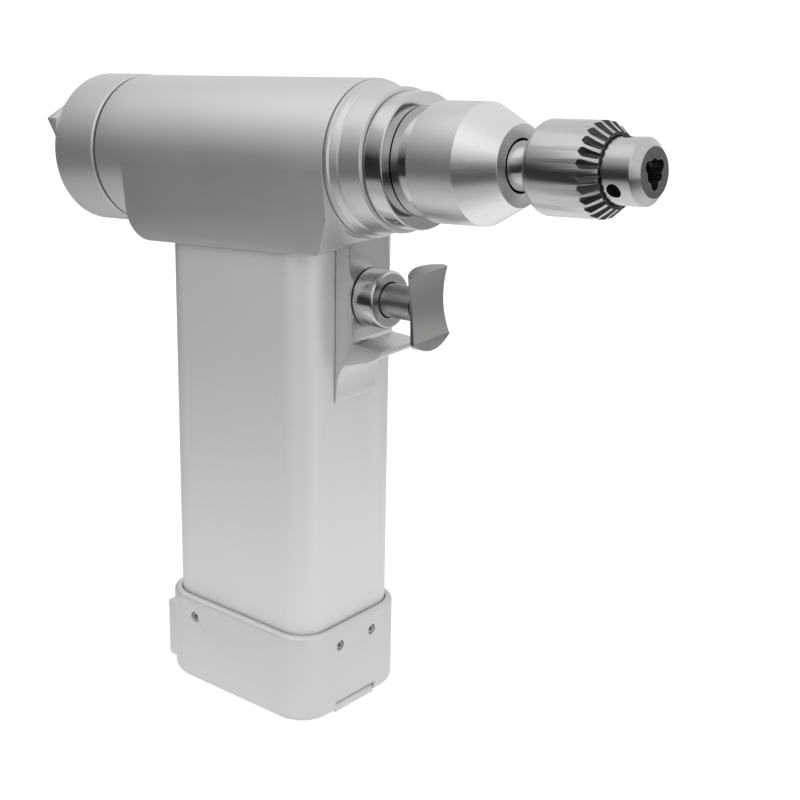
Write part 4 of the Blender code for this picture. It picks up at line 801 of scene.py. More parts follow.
@dataclass
class SelectorKnob:
    """The rear selector knob with its pointed ridge."""

    radius: float = 21.3 * MM
    lip: float = 0.45 * MM
    back: float = -40.9 * MM
    front: float = -24.3 * MM
    wall: float = 3.0 * MM
    edge: float = 1.1 * MM
    hub: float = 5.75 * MM
    hub_wall: float = 2.8 * MM
    hub_front: float = -23.7 * MM
    ridge_height: float = 3.9 * MM
    ridge_reach: float = 22.0 * MM
    ridge_half: float = 5.4 * MM
    ridge_inset: float = 0.4 * MM
    ridge_edge: float = 0.25 * MM
    ridge_angle: float = math.radians(30.0)

    def ridge(self) -> bpy.types.Object:
        """Return the ridge as one convex body."""
        root = self.back + 0.5 * self.edge
        top = self.back - self.ridge_height
        shoulder = math.sqrt((self.radius - self.ridge_inset) ** 2 - self.ridge_half ** 2)
        work = bmesh.new()
        for sign_x in (-1.0, 1.0):
            work.verts.new((sign_x * self.ridge_reach, 0.0, root))
            work.verts.new((sign_x * self.ridge_reach, 0.0, top))
            for sign_y in (-1.0, 1.0):
                work.verts.new((sign_x * shoulder, sign_y * self.ridge_half, root))
        bmesh.ops.convex_hull(work, input=work.verts)
        bmesh.ops.dissolve_limit(work, angle_limit=math.radians(1), verts=work.verts,
                                 edges=work.edges)
        near = Line.around(self.ridge_angle)
        turn = Matrix.Rotation(math.atan2(near.y, near.x), 4, "Z")
        bmesh.ops.transform(work, matrix=BARREL.matrix() @ turn, verts=work.verts)
        return solid("ridge", work)

    def build(self, bench: Bench) -> None:
        """Make the knob as one turned cup with its ridge."""
        floor = self.back + self.wall
        inside = self.radius - self.wall
        cup = lathe("selector_knob", [
            (0.0, floor), (self.hub, floor), (self.hub, self.hub_front),
            (self.hub + self.hub_wall, self.hub_front), (self.hub + self.hub_wall, floor),
            (inside, floor), (inside, self.front), (self.radius - self.lip, self.front),
            (self.radius, self.front - self.lip), (self.radius, self.back, self.edge),
            (0.0, self.back)], BARREL, closed=False)
        combine(cup, eased(self.ridge(), self.ridge_edge), "UNION")
        tidy(cup.data, 28.0)
        bench.mount(cup, SATIN, "knob", "rear_knob")


@dataclass
class Nose:
    """The flange, the polished ring and the collar with its cone."""

    flange: float = 20.7 * MM
    flange_back: float = 64.1 * MM
    flange_front: float = 74.7 * MM
    shoulder: float = 19.5 * MM
    shoulder_at: float = 67.4 * MM
    lip: float = 18.9 * MM
    core: float = 17.95 * MM
    flange_bore: float = 14.0 * MM
    lip_bevel: float = 1.0 * MM
    lip_slant: float = 0.25 * MM
    shoulder_bevel: float = 0.35 * MM
    foot_drop: float = 0.65 * MM
    foot_at: float = 1.5 * MM
    groove: float = 0.28 * MM
    band: float = 0.9 * MM
    plug_length: float = 6.5 * MM
    ring: float = 17.8 * MM
    ring_back: float = 75.0 * MM
    ring_front: float = 80.7 * MM
    ring_gap: float = 0.25 * MM
    spigot: float = 10.6 * MM
    spigot_wall: float = 2.0 * MM
    neck: float = 14.3 * MM
    neck_back: float = 81.0 * MM
    neck_front: float = 86.8 * MM
    collar: float = 15.6 * MM
    cone: float = 101.2 * MM
    front: float = 111.4 * MM
    front_radius: float = 10.4 * MM
    hole: float = 6.85 * MM
    funnel_back: float = 9.0 * MM
    funnel_front: float = 4.6 * MM

    def build(self, bench: Bench) -> None:
        """Make the three turned pieces."""
        foot = self.flange - self.foot_drop
        plug = self.flange_back - self.plug_length
        flange = lathe("nose_flange", [
            (self.lip - self.lip_bevel, self.flange_front, 0.15 * MM),
            (self.lip, self.flange_front - self.lip_slant, 0.2 * MM),
            (self.shoulder - self.shoulder_bevel, self.shoulder_at + self.shoulder_bevel,
             0.05 * MM),
            (self.shoulder, self.shoulder_at, 0.1 * MM),
            (foot, self.flange_back + self.foot_at, 0.1 * MM),
            (foot, self.flange_back + self.foot_at - self.groove),
            (self.flange, self.flange_back + self.band, 0.2 * MM),
            (self.flange, self.flange_back, 0.15 * MM),
            (self.core, self.flange_back), (self.core, plug), (self.flange_bore, plug),
            (self.flange_bore, self.flange_front)], BARREL)
        bench.mount(flange, COLLAR, "frame", "nose_flange")
        ring = lathe("polished_ring", [
            (self.ring, self.ring_front, 0.45 * MM), (self.ring, self.ring_back),
            (self.spigot + self.ring_gap, self.ring_back),
            (self.spigot + self.ring_gap, self.ring_front)], BARREL)
        bench.mount(ring, POLISHED, "frame", "gearbox_ring")
        inner = self.spigot - self.spigot_wall
        collar = lathe("nose_collar", [
            (self.hole, self.front, 0.15 * MM), (self.front_radius, self.front, 0.3 * MM),
            (self.collar, self.cone, 0.15 * MM), (self.collar, self.neck_front, 0.35 * MM),
            (self.neck, self.neck_front), (self.neck, self.neck_back),
            (self.spigot, self.neck_back), (self.spigot, self.ring_back),
            (inner, self.ring_back), (inner, self.front - self.funnel_back),
            (self.hole, self.front - self.funnel_front)], BARREL)
        bench.mount(collar, COLLAR, "frame", "nose_collar")
        # The cone is painted lighter; the hole and the recesses get painted shade.
        paint(collar, [bench.material(finish) for finish in (POLISHED, CONE, FACE_AND_SHADE)], self.part_of)

    def part_of(self, centre: Vector, normal: Vector) -> int:
        """Tell apart the collar's rim, its polished neck, its cone, which is painted lighter, and
        its hole and recesses, which get painted shade.
        """
        radius = math.hypot(centre.x, centre.y)
        if centre.z < self.front - 0.2 * MM and radius < self.hole + 0.1 * MM:
            return 3
        if centre.z > self.front - 0.02 * MM:
            return 0
        if centre.z > self.cone - 0.05 * MM:
            return 2
        if centre.z < self.neck_front + 0.02 * MM and radius < self.collar - 0.4 * MM:
            return 1 if normal.z > -0.5 else 3
        return 0


@dataclass
class KeyChuck:
    """The key chuck: body, toothed sleeve and three jaws."""

    neck: float = 6.4 * MM
    neck_waist: float = 0.6 * MM
    neck_foot: float = 0.4 * MM
    back: float = 111.1 * MM
    sleeve_back: float = 119.3 * MM
    sleeve: float = 11.8 * MM
    sleeve_back_radius: float = 11.1 * MM
    sleeve_chamfer: float = 1.1 * MM
    teeth_at: float = 136.4 * MM
    sleeve_front: float = 139.8 * MM
    sleeve_front_radius: float = 9.2 * MM
    tooth_root: float = 8.6 * MM
    teeth: int = 24
    teeth_turn: float = math.radians(0.7)
    gap_back: float = 1.4 * MM
    gap_deepest: float = 0.5 * MM
    gap_depth: float = 1.6 * MM
    gap_share: float = 0.96
    gap_lift: float = 0.25 * MM
    sleeve_bore: float = 8.45 * MM
    sleeve_wall: float = 1.35 * MM
    nut: float = 9.35 * MM
    nut_gap: float = 0.25 * MM
    nut_back: float = 132.0 * MM
    nut_front: float = 136.3 * MM
    nut_seat_back: float = 7.8 * MM
    nut_seat_front: float = 7.0 * MM
    tang: float = 4.25 * MM
    tang_length: float = 12.7 * MM
    face: float = 149.7 * MM
    face_radius: float = 6.1 * MM
    nose: float = 8.2 * MM
    nose_chamfer: float = 2.0 * MM
    mouth: float = 3.1 * MM
    lobe: float = 1.3 * MM
    lobe_at: float = 2.1 * MM
    mouth_depth: float = 13.5 * MM
    mouth_cone: float = 1.2 * MM
    mouth_back: float = 130 * MM
    hollow_back: float = 137 * MM
    hollow_front: float = 2.2 * MM
    core: float = 10.2 * MM
    hole_radius: float = 1.95 * MM
    hole_at: float = 142.9 * MM
    hole_floor: float = 5.4 * MM
    hole_angle: float = math.radians(-25.5)
    jaws: int = 3
    jaw: float = 1.45 * MM
    jaw_gap: float = 0.12 * MM
    jaw_slope: float = math.radians(12.0)
    jaw_length: float = 19.0 * MM
    jaw_inset: float = 3.4 * MM
    jaw_at_face: float = 2.75 * MM
    grip: float = 3.3 * MM

    def jaw_angle(self, index: int) -> float:
        """Return a jaw's angle upward from the near side."""
        return self.hole_angle + math.pi / self.jaws + 2.0 * math.pi * index / self.jaws

    def jaw_frame(self, index: int) -> Matrix:
        """Return a jaw's frame, with Z along its closing slide.

        Args:
            index: Which jaw, from 0.

        Returns:
            The frame in world coordinates.
        """
        out = Line.around(self.jaw_angle(index))
        ahead = Vector((0.0, 0.0, 1.0))
        along = math.cos(self.jaw_slope) * ahead - math.sin(self.jaw_slope) * out
        away = math.cos(self.jaw_slope) * out + math.sin(self.jaw_slope) * ahead
        side = along.cross(away)
        origin = self.jaw_at_face * out + self.face * ahead
        local = Matrix([[away[row], side[row], along[row], origin[row]] for row in range(3)]
                       + [[0.0, 0.0, 0.0, 1.0]])
        return BARREL.matrix() @ local

    def gap(self) -> bpy.types.Object:
        """Return the boat-shaped gap between two teeth, which starts in a point."""
        pitch = 2.0 * math.pi / self.teeth
        front = self.sleeve_front_radius + self.gap_lift
        stations = (
            (self.teeth_at - self.gap_back, self.sleeve + 0.1 * MM, self.sleeve + 0.6 * MM),
            (self.teeth_at + self.gap_deepest, self.sleeve - self.gap_depth,
             self.sleeve - 0.05 * MM),
            (self.sleeve_front + 0.1 * MM, self.tooth_root, front),
            (self.sleeve_front + 1.2 * MM, self.tooth_root, front))
        points: list[tuple[float, float, float]] = []
        for height, floor, top in stations:
            half = 0.5 * pitch * top * self.gap_share
            points += [(floor, 0.0, height), (top, half, height), (top, -half, height)]
        last = len(points) - 3
        faces = [(0, 1, 2), (last, last + 2, last + 1)]
        for start in range(0, last, 3):
            for corner in range(3):
                ahead = (corner + 1) % 3
                faces.append((start + corner, start + ahead, start + ahead + 3,
                              start + corner + 3))
        mesh = bpy.data.meshes.new("tooth_gap")
        mesh.from_pydata(points, [], faces)
        return link("tooth_gap", tidy(mesh))

    def gaps(self) -> bpy.types.Object:
        """Return the gaps between the key's teeth, repeated by Geometry Nodes."""
        near = Line.around(self.teeth_turn)
        gap = self.gap()
        obj = link("tooth_gaps", bpy.data.meshes.new("tooth_gaps"))
        run_nodes(obj, RingOfGaps().tree(gap), {
            "Count": self.teeth, "Turn": math.atan2(near.y, near.x)})
        bpy.data.objects.remove(gap)
        obj.data.transform(BARREL.matrix())
        return obj

    def build(self, bench: Bench) -> None:
        """Make the sleeve, the body and the jaws."""
        self.build_sleeve(bench)
        self.build_body(bench)
        for index in range(self.jaws):
            self.build_jaw(bench, index)

    def build_sleeve(self, bench: Bench) -> None:
        """Make the sleeve and cut its teeth."""
        bore = self.sleeve - self.sleeve_wall
        seat = self.nut + self.nut_gap
        sleeve = lathe("chuck_sleeve", [
            (self.sleeve_front_radius, self.sleeve_front),
            (self.sleeve, self.teeth_at),
            (self.sleeve, self.sleeve_back + self.sleeve_chamfer, 1.6 * MM),
            (self.sleeve_back_radius, self.sleeve_back, 0.5 * MM),
            (bore, self.sleeve_back), (bore, self.nut_back), (seat, self.nut_back),
            (seat, self.nut_front), (self.sleeve_bore, self.nut_front),
            (self.sleeve_bore, self.sleeve_front)], BARREL, around=192)
        combine(sleeve, self.gaps())
        eased(sleeve, 0.09 * MM, segments=2, angle=38.0)
        bench.mount(sleeve, CHUCK, "sleeve", "chuck_sleeve")
        # The flanks of the tooth gaps get painted shade.
        paint(sleeve, [bench.material(TOOTH_GAP_SHADE)], self.part_of_sleeve)

    def part_of_sleeve(self, centre: Vector, normal: Vector) -> int:
        """Tell the flanks of the gaps between the teeth, which get painted shade, from the rest of
        the sleeve.
        """
        outward = (normal.x * centre.x + normal.y * centre.y) / max(
            1e-9, math.hypot(centre.x, centre.y))
        return int(centre.z > self.teeth_at - self.gap_back and outward < 0.75)

    def build_body(self, bench: Bench) -> None:
        """Make the chuck's body with its mouth, jaw bores and key holes."""
        steps = 14
        length = self.sleeve_back - self.back - self.neck_foot
        neck = [(self.neck - self.neck_waist * math.sin(math.pi * step / steps),
                 self.sleeve_back - length * step / steps) for step in range(steps + 1)]
        floor = self.face - self.mouth_depth
        body = lathe("chuck_body", [
            (0.0, floor), (self.mouth, floor + self.mouth_cone),
            (self.mouth, self.face, 0.12 * MM),
            (self.face_radius, self.face, 0.15 * MM),
            (self.nose, self.face - self.nose_chamfer, 0.3 * MM), (self.nose, self.nut_front),
            (self.nut_seat_front, self.nut_front), (self.nut_seat_back, self.nut_back),
            (self.core, self.nut_back), (self.core, self.sleeve_back + SEAM), *neck,
            (self.neck - self.neck_foot, self.back), (self.tang, self.back),
            (self.tang, self.back + self.tang_length), (0.0, self.back + self.tang_length)],
            BARREL, closed=False)
        for index in range(self.jaws):
            combine(body, rod("bore", self.jaw + self.jaw_gap, 4 * MM,
                              -self.jaw_inset - self.jaw_length, around=40,
                              turn=self.jaw_frame(index)))
            spot = self.lobe_at * Line.around(self.hole_angle + 2.0 * math.pi * index / self.jaws)
            combine(body, rod("mouth_lobe", self.lobe, self.face + MM, floor + self.mouth_cone,
                              around=40, turn=BARREL.matrix() @ Matrix.Translation(spot)))
        combine(body, self.key_holes())
        eased(body, 0.12 * MM, segments=2, angle=40.0)
        bench.mount(body, CHUCK, "spindle", "chuck_body")
        # The face is dark steel; the holes and the mouth get painted shade.
        paint(body, [bench.material(FACE_AND_SHADE), bench.material(POLISHED)], self.part_of_body)

    def part_of_body(self, centre: Vector, _: Vector) -> int:
        """Tell apart the turned outside, the dark face with the holes and mouth that get painted
        shade, and the polished neck.
        """
        radius = math.hypot(centre.x, centre.y)
        inside = radius < self.nose - 0.25 * MM and (
            self.hollow_back < centre.z < self.face - self.hollow_front)
        mouth = (radius < self.lobe_at + self.lobe + 0.2 * MM
                 and centre.z > self.mouth_back)
        if centre.z > self.face - 0.03 * MM or inside or mouth:
            return 1
        return 2 if centre.z < self.sleeve_back else 0

    def key_holes(self) -> bpy.types.Object:
        """Return the three key holes' drills, repeated by Geometry Nodes."""
        near = Line.around(self.hole_angle)
        obj = link("key_drills", bpy.data.meshes.new("key_drills"))
        run_nodes(obj, RingOfDrills().tree(), {
            "Count": self.jaws, "Floor": self.hole_floor, "Reach": self.nose + 2 * MM,
            "Radius": self.hole_radius, "Height": self.hole_at,
            "Turn": math.atan2(near.y, near.x)})
        obj.data.transform(BARREL.matrix())
        return obj

    def build_jaw(self, bench: Bench, index: int) -> None:
        """Make one jaw with its grip flat.

        Args:
            bench: Where it is dressed.
            index: Which jaw, from 0.
        """
        name = "chuck_jaw_%d" % (index + 1)
        jaw = lathe("jaw_%d" % (index + 1), [
            (0.0, -self.jaw_inset), (self.jaw, -self.jaw_inset, 0.15 * MM),
            (self.jaw, -self.jaw_inset - self.jaw_length, 0.2 * MM),
            (0.0, -self.jaw_inset - self.jaw_length)], closed=False, around=48,
            turn=self.jaw_frame(index))
        out = Line.around(self.jaw_angle(index))
        turn = Matrix.Rotation(math.atan2(out.y, out.x), 4, "Z")
        flat = block("flat", (-10 * MM, -5 * MM, self.face - self.jaw_length),
                     (self.grip, 5 * MM, self.face + 2 * MM), BARREL.matrix() @ turn)
        combine(jaw, flat)
        eased(jaw, 0.06 * MM, segments=2)
        bench.mount(jaw, STEEL, "jaw_%d" % (index + 1), name)


class GeometryTree(TreeBuilder):
    """A builder for a Geometry Nodes tree with named inputs."""

    title = "tree"
    sockets: dict[str, tuple[str, float]] = {}

    def __init__(self) -> None:
        """Start the tree with its inputs."""
        super().__init__(bpy.data.node_groups.new(self.title, "GeometryNodeTree"))
        self.socket("Geometry", "INPUT", "Geometry")
        for name, (kind, value) in self.sockets.items():
            self.socket(name, "INPUT", kind, value)
        self.socket("Material", "INPUT", "Material")
        self.socket("Geometry", "OUTPUT", "Geometry")
        self.start = self.net.nodes.new("NodeGroupInput").outputs
        self.end = self.net.nodes.new("NodeGroupOutput").inputs

    def ring(self, part: bpy.types.NodeSocket) -> bpy.types.NodeTree:
        """Repeat a part Count times about Z, Turn from X, and end the tree.

        Args:
            part: The geometry of one copy.

        Returns:
            The finished tree.
        """
        points = self.node("GeometryNodePoints", {"Count": self.start["Count"]})
        step = self.math("DIVIDE", 2.0 * math.pi, self.start["Count"])
        index = self.node("GeometryNodeInputIndex").outputs[0]
        angle = self.math("ADD", self.math("MULTIPLY", index, step), self.start["Turn"])
        copies = self.node("GeometryNodeInstanceOnPoints", {
            "Points": points.outputs[0], "Instance": part, "Rotation": self.vector(z=angle)})
        return self.close(copies.outputs[0])

    def close(self, geometry: bpy.types.NodeSocket) -> bpy.types.NodeTree:
        """End the tree in Realize Instances and Set Material."""
        real = self.node("GeometryNodeRealizeInstances", {0: geometry})
        dress = self.node("GeometryNodeSetMaterial", {
            "Geometry": real.outputs[0], "Material": self.start["Material"]})
        self.feed(self.end[0], dress.outputs[0])
        return self.net


class RingOfGaps(GeometryTree):
    """Copies of one tooth gap around the sleeve."""

    title = "ring of tooth gaps"
    sockets = {"Count": ("Int", 24), "Turn": ("Float", 0.0)}

    def tree(self, gap: bpy.types.Object) -> bpy.types.NodeTree:
        """Return the finished tree.

        Args:
            gap: The gap that is copied, on the side of +X.

        Returns:
            The tree.
        """
        source = self.node("GeometryNodeObjectInfo", {"Object": gap})
        return self.ring(source.outputs["Geometry"])


class RingOfDrills(GeometryTree):
    """Radial cylinders that cut the key holes."""

    title = "ring of key drills"
    sockets = {"Count": ("Int", 3), "Radius": ("Float", 0.002), "Height": ("Float", 0.0),
               "Floor": ("Float", 0.005), "Reach": ("Float", 0.01), "Turn": ("Float", 0.0)}

    def tree(self) -> bpy.types.NodeTree:
        """Return the finished tree."""
        take = self.start
        drill = self.node("GeometryNodeMeshCylinder", {
            "Vertices": 48, "Radius": take["Radius"],
            "Depth": self.math("SUBTRACT", take["Reach"], take["Floor"])})
        middle = self.math("MULTIPLY", self.math("ADD", take["Reach"], take["Floor"]), 0.5)
        placed = self.node("GeometryNodeTransform", {
            "Geometry": drill.outputs["Mesh"], "Rotation": (0.0, 0.5 * math.pi, 0.0),
            "Translation": self.vector(x=middle, z=take["Height"])})
        return self.ring(placed.outputs[0])


class ScrewsOnPoints(GeometryTree):
    """Copies of one screw on points, each turned to its own heading."""

    title = "screws on points"

    def tree(self, screw: bpy.types.Object) -> bpy.types.NodeTree:
        """Return the finished tree.

        Args:
            screw: The screw that is copied, with its head along +Z.

        Returns:
            The tree.
        """
        source = self.node("GeometryNodeObjectInfo", {"Object": screw})
        heading = self.node("GeometryNodeInputNamedAttribute", {"Name": "heading"},
                            data_type="FLOAT").outputs["Attribute"]
        copies = self.node("GeometryNodeInstanceOnPoints", {
            "Points": self.start["Geometry"], "Instance": source.outputs["Geometry"],
            "Rotation": self.vector(y=0.5 * math.pi, z=heading)})
        return self.close(copies.outputs[0])


def run_nodes(obj: bpy.types.Object, tree: bpy.types.NodeTree,
              values: dict[str, object]) -> bpy.types.Object:
    """Run a Geometry Nodes tree on an object and keep its result as a plain mesh.

    Args:
        obj: The object whose mesh goes in.
        tree: The tree.
        values: Inputs by name.

    Returns:
        The object with its new mesh.
    """
    modifier = obj.modifiers.new(tree.name, "NODES")
    modifier.node_group = tree
    ids = {item.name: item.identifier for item in tree.interface.items_tree
           if item.item_type == "SOCKET" and item.in_out == "INPUT"}
    for name, value in values.items():
        modifier[ids[name]] = value
    obj.update_tag()
    applied(obj)
    tidy(obj.data)
    return obj


@dataclass
class TriggerGroup:
    """The bush, the stem and the finger pad."""

    bush: float = 7.9 * MM
    bush_front: float = 7.0 * MM
    spigot: float = 6.4 * MM
    spigot_length: float = 8.6 * MM
    stem: float = 4.6 * MM
    flange: float = 6.0 * MM
    flange_thick: float = 2 * MM
    tail: float = 2.4 * MM
    tail_end: float = 10 * MM
    pad_front: float = 20.9 * MM
    pad_half: float = 7.5 * MM
    pad_top: float = 9.6 * MM
    top_rise: float = 1.2 * MM
    pad_bottom: float = 8.9 * MM
    bottom_arch: float = 2.9 * MM
    waist: float = 1.0 * MM
    hollow: float = 1.0 * MM
    edge: float = 1.3 * MM
    middle: float = 3.8 * MM

    def build(self, bench: Bench) -> None:
        """Make the bush, stem and pad."""
        hole = self.stem + SEAM
        bush = lathe("trigger_bush", [
            (self.bush, self.bush_front, 0.75 * MM), (self.bush, SEAM, 0.1 * MM),
            (self.spigot, SEAM), (self.spigot, -self.spigot_length),
            (hole, -self.spigot_length), (hole, self.bush_front, 0.2 * MM)], TRIGGER)
        bench.mount(bush, POLISHED, "frame", "trigger_bush")
        back = self.pad_front - self.middle
        rear = -self.spigot_length - SEAM
        stem = lathe("trigger_stem", [
            (0.0, back - SEAM), (self.stem, back - SEAM, 0.1 * MM), (self.stem, rear),
            (self.flange, rear), (self.flange, rear - self.flange_thick),
            (self.tail, rear - self.flange_thick), (self.tail, rear - self.tail_end, 0.3 * MM),
            (0.0, rear - self.tail_end)], TRIGGER, closed=False, around=96)
        bench.mount(stem, FINGER, "trigger", "trigger_stem")
        self.build_pad(bench, back)

    def crown(self, share: float) -> float:
        """Return 1 in the middle and 0 at both ends of -1 to 1."""
        return 1.0 - share * share

    def build_pad(self, bench: Bench, back: float) -> None:
        """Make the crescent plate with its finger groove and waisted outline.

        Args:
            bench: Where it is dressed.
            back: Station of the pad's back.
        """
        shares = [-1.0 + step / 14.0 for step in range(29)]
        edge = self.pad_front - self.edge
        lowest = self.pad_bottom + self.bottom_arch
        plan = [(self.pad_half, self.pad_front), (-self.pad_half, self.pad_front)]
        plan += [(share * self.pad_half, edge + (back - edge) * self.crown(share))
                 for share in shares]
        pad = slab("trigger_pad", plan, -lowest - 2 * MM, lowest + 2 * MM,
                   TRIGGER.matrix() @ EDGEWISE)
        middle = 0.5 * (self.pad_bottom - self.pad_top)
        half = 0.5 * (self.pad_bottom + self.pad_top)
        side = [(middle + share * half, self.pad_front - self.hollow * self.crown(share))
                for share in shares]
        side += [(lowest + MM, self.pad_front), (lowest + MM, back - MM),
                 (-self.pad_top - self.top_rise, back - MM)]
        combine(pad, slab("side", side, -self.pad_half - MM, self.pad_half + MM,
                          TRIGGER.matrix() @ UPRIGHT), "INTERSECT")
        waist = [self.pad_half - self.waist * self.crown(share) for share in shares]
        high = -self.pad_top - self.top_rise - MM
        face = [(high, -self.pad_half), (high, self.pad_half)]
        face += [(middle + share * half, reach) for share, reach in zip(shares, waist)]
        face += [(self.pad_bottom + self.bottom_arch * self.crown(share), -share * self.pad_half)
                 for share in shares[1:-1]]
        face += [(middle - share * half, -reach) for share, reach in zip(shares, waist)]
        outline = slab("outline", face, back - 2 * MM, self.pad_front + 2 * MM, TRIGGER.matrix())
        combine(pad, outline, "INTERSECT")
        eased(pad, 0.45 * MM, angle=30.0)
        bench.mount(pad, FINGER, "trigger", "trigger_pad")


@dataclass
class Handle:
    """The handle tube, which stands in the base's rim."""

    centre: float = 0.2 * MM
    half_length: float = 27.0 * MM
    half_width: float = 20.0 * MM
    corner: float = 8.3 * MM
    wall: float = 2.4 * MM
    bottom: float = 24.65 * MM
    saddle_depth: float = 22.5 * MM

    def outline(self, grow: float = 0.0) -> list[Point2]:
        """Return the tube's outline, grown on all sides."""
        return rectangle(self.half_length + grow, self.half_width + grow, self.corner + grow,
                         self.centre)

    def build(self, bench: Bench) -> None:
        """Make the tube and its top cut."""
        top = BARREL.root[2]
        tube = slab("handle_tube", self.outline(), self.bottom, top)
        combine(tube, slab("room", self.outline(-self.wall), self.bottom - BEYOND, top + BEYOND))
        combine(tube, block("top", (-60 * MM, -40 * MM, -80 * MM),
                            (self.saddle_depth, 40 * MM, 120 * MM), BARREL.matrix()))
        combine(tube, bush_hole())
        eased(tube, 0.3 * MM)
        bench.mount(tube, PALE, "frame", "handle_tube")


def loft(name: str, levels: Sequence[tuple[Sequence[Point2], float]]) -> bpy.types.Object:
    """Skin outlines of the same number of points, one above the other.

    Args:
        name: The object's name.
        levels: Pairs of an outline and its height.

    Returns:
        The new object.
    """
    work = bmesh.new()
    rings = [[work.verts.new((x, y, height)) for x, y in outline] for outline, height in levels]
    count = len(rings[0])
    for lower, upper in zip(rings, rings[1:]):
        for one in range(count):
            two = (one + 1) % count
            work.faces.new((lower[one], lower[two], upper[two], upper[one]))
    work.faces.new(list(reversed(rings[0])))
    work.faces.new(rings[-1])
    return solid(name, work)


@dataclass
class BatteryBase:
    """The battery case with its latch, tab and screws."""

    half_length: float = 29.1 * MM
    half_width: float = 22.1 * MM
    corner: float = 9.8 * MM
    height: float = 27.8 * MM
    rim: float = 1.3 * MM
    ledge: float = 23.35 * MM
    wall: float = 2.6 * MM
    floor: float = 3.0 * MM
    chamfer: float = 3.2 * MM
    notch_half: float = 8.6 * MM
    notch_height: float = 4.0 * MM
    notch_depth: float = 2.0 * MM
    tab_inset: float = 0.5 * MM
    tab_bottom: float = 0.35 * MM
    tab_top: float = 2.9 * MM
    latch_half: float = 15.0 * MM
    latch_bottom: float = 0.8 * MM
    latch_height: float = 18.0 * MM
    latch_gap: float = 0.8 * MM
    latch_thick: float = 5.2 * MM
    latch_wall: float = 1.4 * MM
    latch_round: float = 2.2 * MM
    pin_out: float = 2.6 * MM
    pin_up: float = 3.4 * MM
    pin_hole: float = 1.1 * MM
    ear_thick: float = 2.4 * MM
    ear_reach: float = 1.6 * MM
    ear_drop: float = 1.45 * MM
    screw_z: float = 21.8 * MM
    screw_front: float = 6.9 * MM
    screw_side: float = -14.9 * MM
    screw_hole: Sequence[Point2] = ((0.0, 2.0), (1.6, 2.0), (1.6, -1.9), (1.05, -1.9),
                                    (1.05, -4.0), (0.0, -4.0))

    def pin(self) -> Vector:
        """Return the latch pin's centre."""
        return Vector((-self.half_length - self.pin_out, 0.0, self.latch_bottom + self.pin_up))

    def screw_points(self) -> list[tuple[float, float, float]]:
        """Return each screw's x, y and heading."""
        return [(self.half_length, self.screw_front, 0.0),
                (self.half_length, -self.screw_front, 0.0),
                (self.screw_side, self.half_width, 0.5 * math.pi),
                (self.screw_side, -self.half_width, -0.5 * math.pi)]

    def build(self, bench: Bench) -> None:
        """Make the case and everything on it."""
        self.build_case(bench)
        self.build_latch(bench)
        self.build_screws(bench)
        back = self.half_length - self.notch_depth + SEAM
        front = self.half_length - self.tab_inset
        tab = slab("front_tab", rounded([
            (back, self.tab_bottom), (front, self.tab_bottom, 0.3 * MM),
            (front, self.tab_top, 1.0 * MM), (back, self.tab_top)]),
            -self.notch_half + SEAM, self.notch_half - SEAM, UPRIGHT)
        eased(tab, 0.2 * MM)
        bench.mount(tab, CASE, "battery", "front_tab")

    def level(self, inset: float, height: float, share: float = 1.0
              ) -> tuple[list[Point2], float]:
        """Return the case's outline at a height.

        Args:
            inset: How far its sides stand in.
            height: Its height.
            share: How much of the inset comes off its corners' radius.

        Returns:
            The outline and its height.
        """
        return rectangle(self.half_length - inset, self.half_width - inset,
                         self.corner - share * inset), height

    def build_case(self, bench: Bench) -> None:
        """Make the open case with its rounded underside, ears and holes."""
        steps = 8
        angles = [0.5 * math.pi * step / steps for step in range(steps + 1)]
        levels = [self.level(self.chamfer * (1.0 - math.sin(angle)),
                             self.chamfer * (1.0 - math.cos(angle)), 0.6) for angle in angles]
        levels.append(self.level(0.0, self.screw_z))
        levels += [self.level(self.rim * (1.0 - math.cos(angle)),
                              self.height - self.rim * (1.0 - math.sin(angle)))
                   for angle in angles]
        case = loft("battery_case", levels)
        room = rectangle(self.half_length - self.wall, self.half_width - self.wall,
                         self.corner - self.wall)
        combine(case, slab("room", room, self.floor, self.ledge + MM))
        combine(case, slab("rim_room", Handle().outline(SEAM), self.ledge, self.height + MM))
        pin = self.pin()
        ear = self.latch_half - self.latch_wall - SEAM
        for side in (1.0, -1.0):
            low, high = sorted((side * ear, side * (ear - self.ear_thick)))
            lug = block("ear", (pin.x - self.ear_reach, low, pin.z - self.ear_drop),
                        (-self.half_length + 1.0 * MM, high, pin.z + self.ear_reach))
            combine(case, lug, "UNION")
        cross = Matrix.Translation(pin) @ UPRIGHT
        combine(case, rod("pin_hole", self.pin_hole, self.latch_half, -self.latch_half,
                          around=24, turn=cross))
        combine(case, block("notch", (self.half_length - self.notch_depth, -self.notch_half, -MM),
                            (self.half_length + 2 * MM, self.notch_half, self.notch_height)))
        for x, y, heading in self.screw_points():
            place = (Matrix.Translation((x, y, self.screw_z))
                     @ Euler((0.0, 0.5 * math.pi, heading)).to_matrix().to_4x4())
            combine(case, lathe("screw_hole", [
                (radius * MM, depth * MM) for radius, depth in self.screw_hole], closed=False,
                around=32, turn=place))
        eased(case, 0.18 * MM, segments=2, angle=40.0)
        bench.mount(case, CASE, "battery", "battery_case")

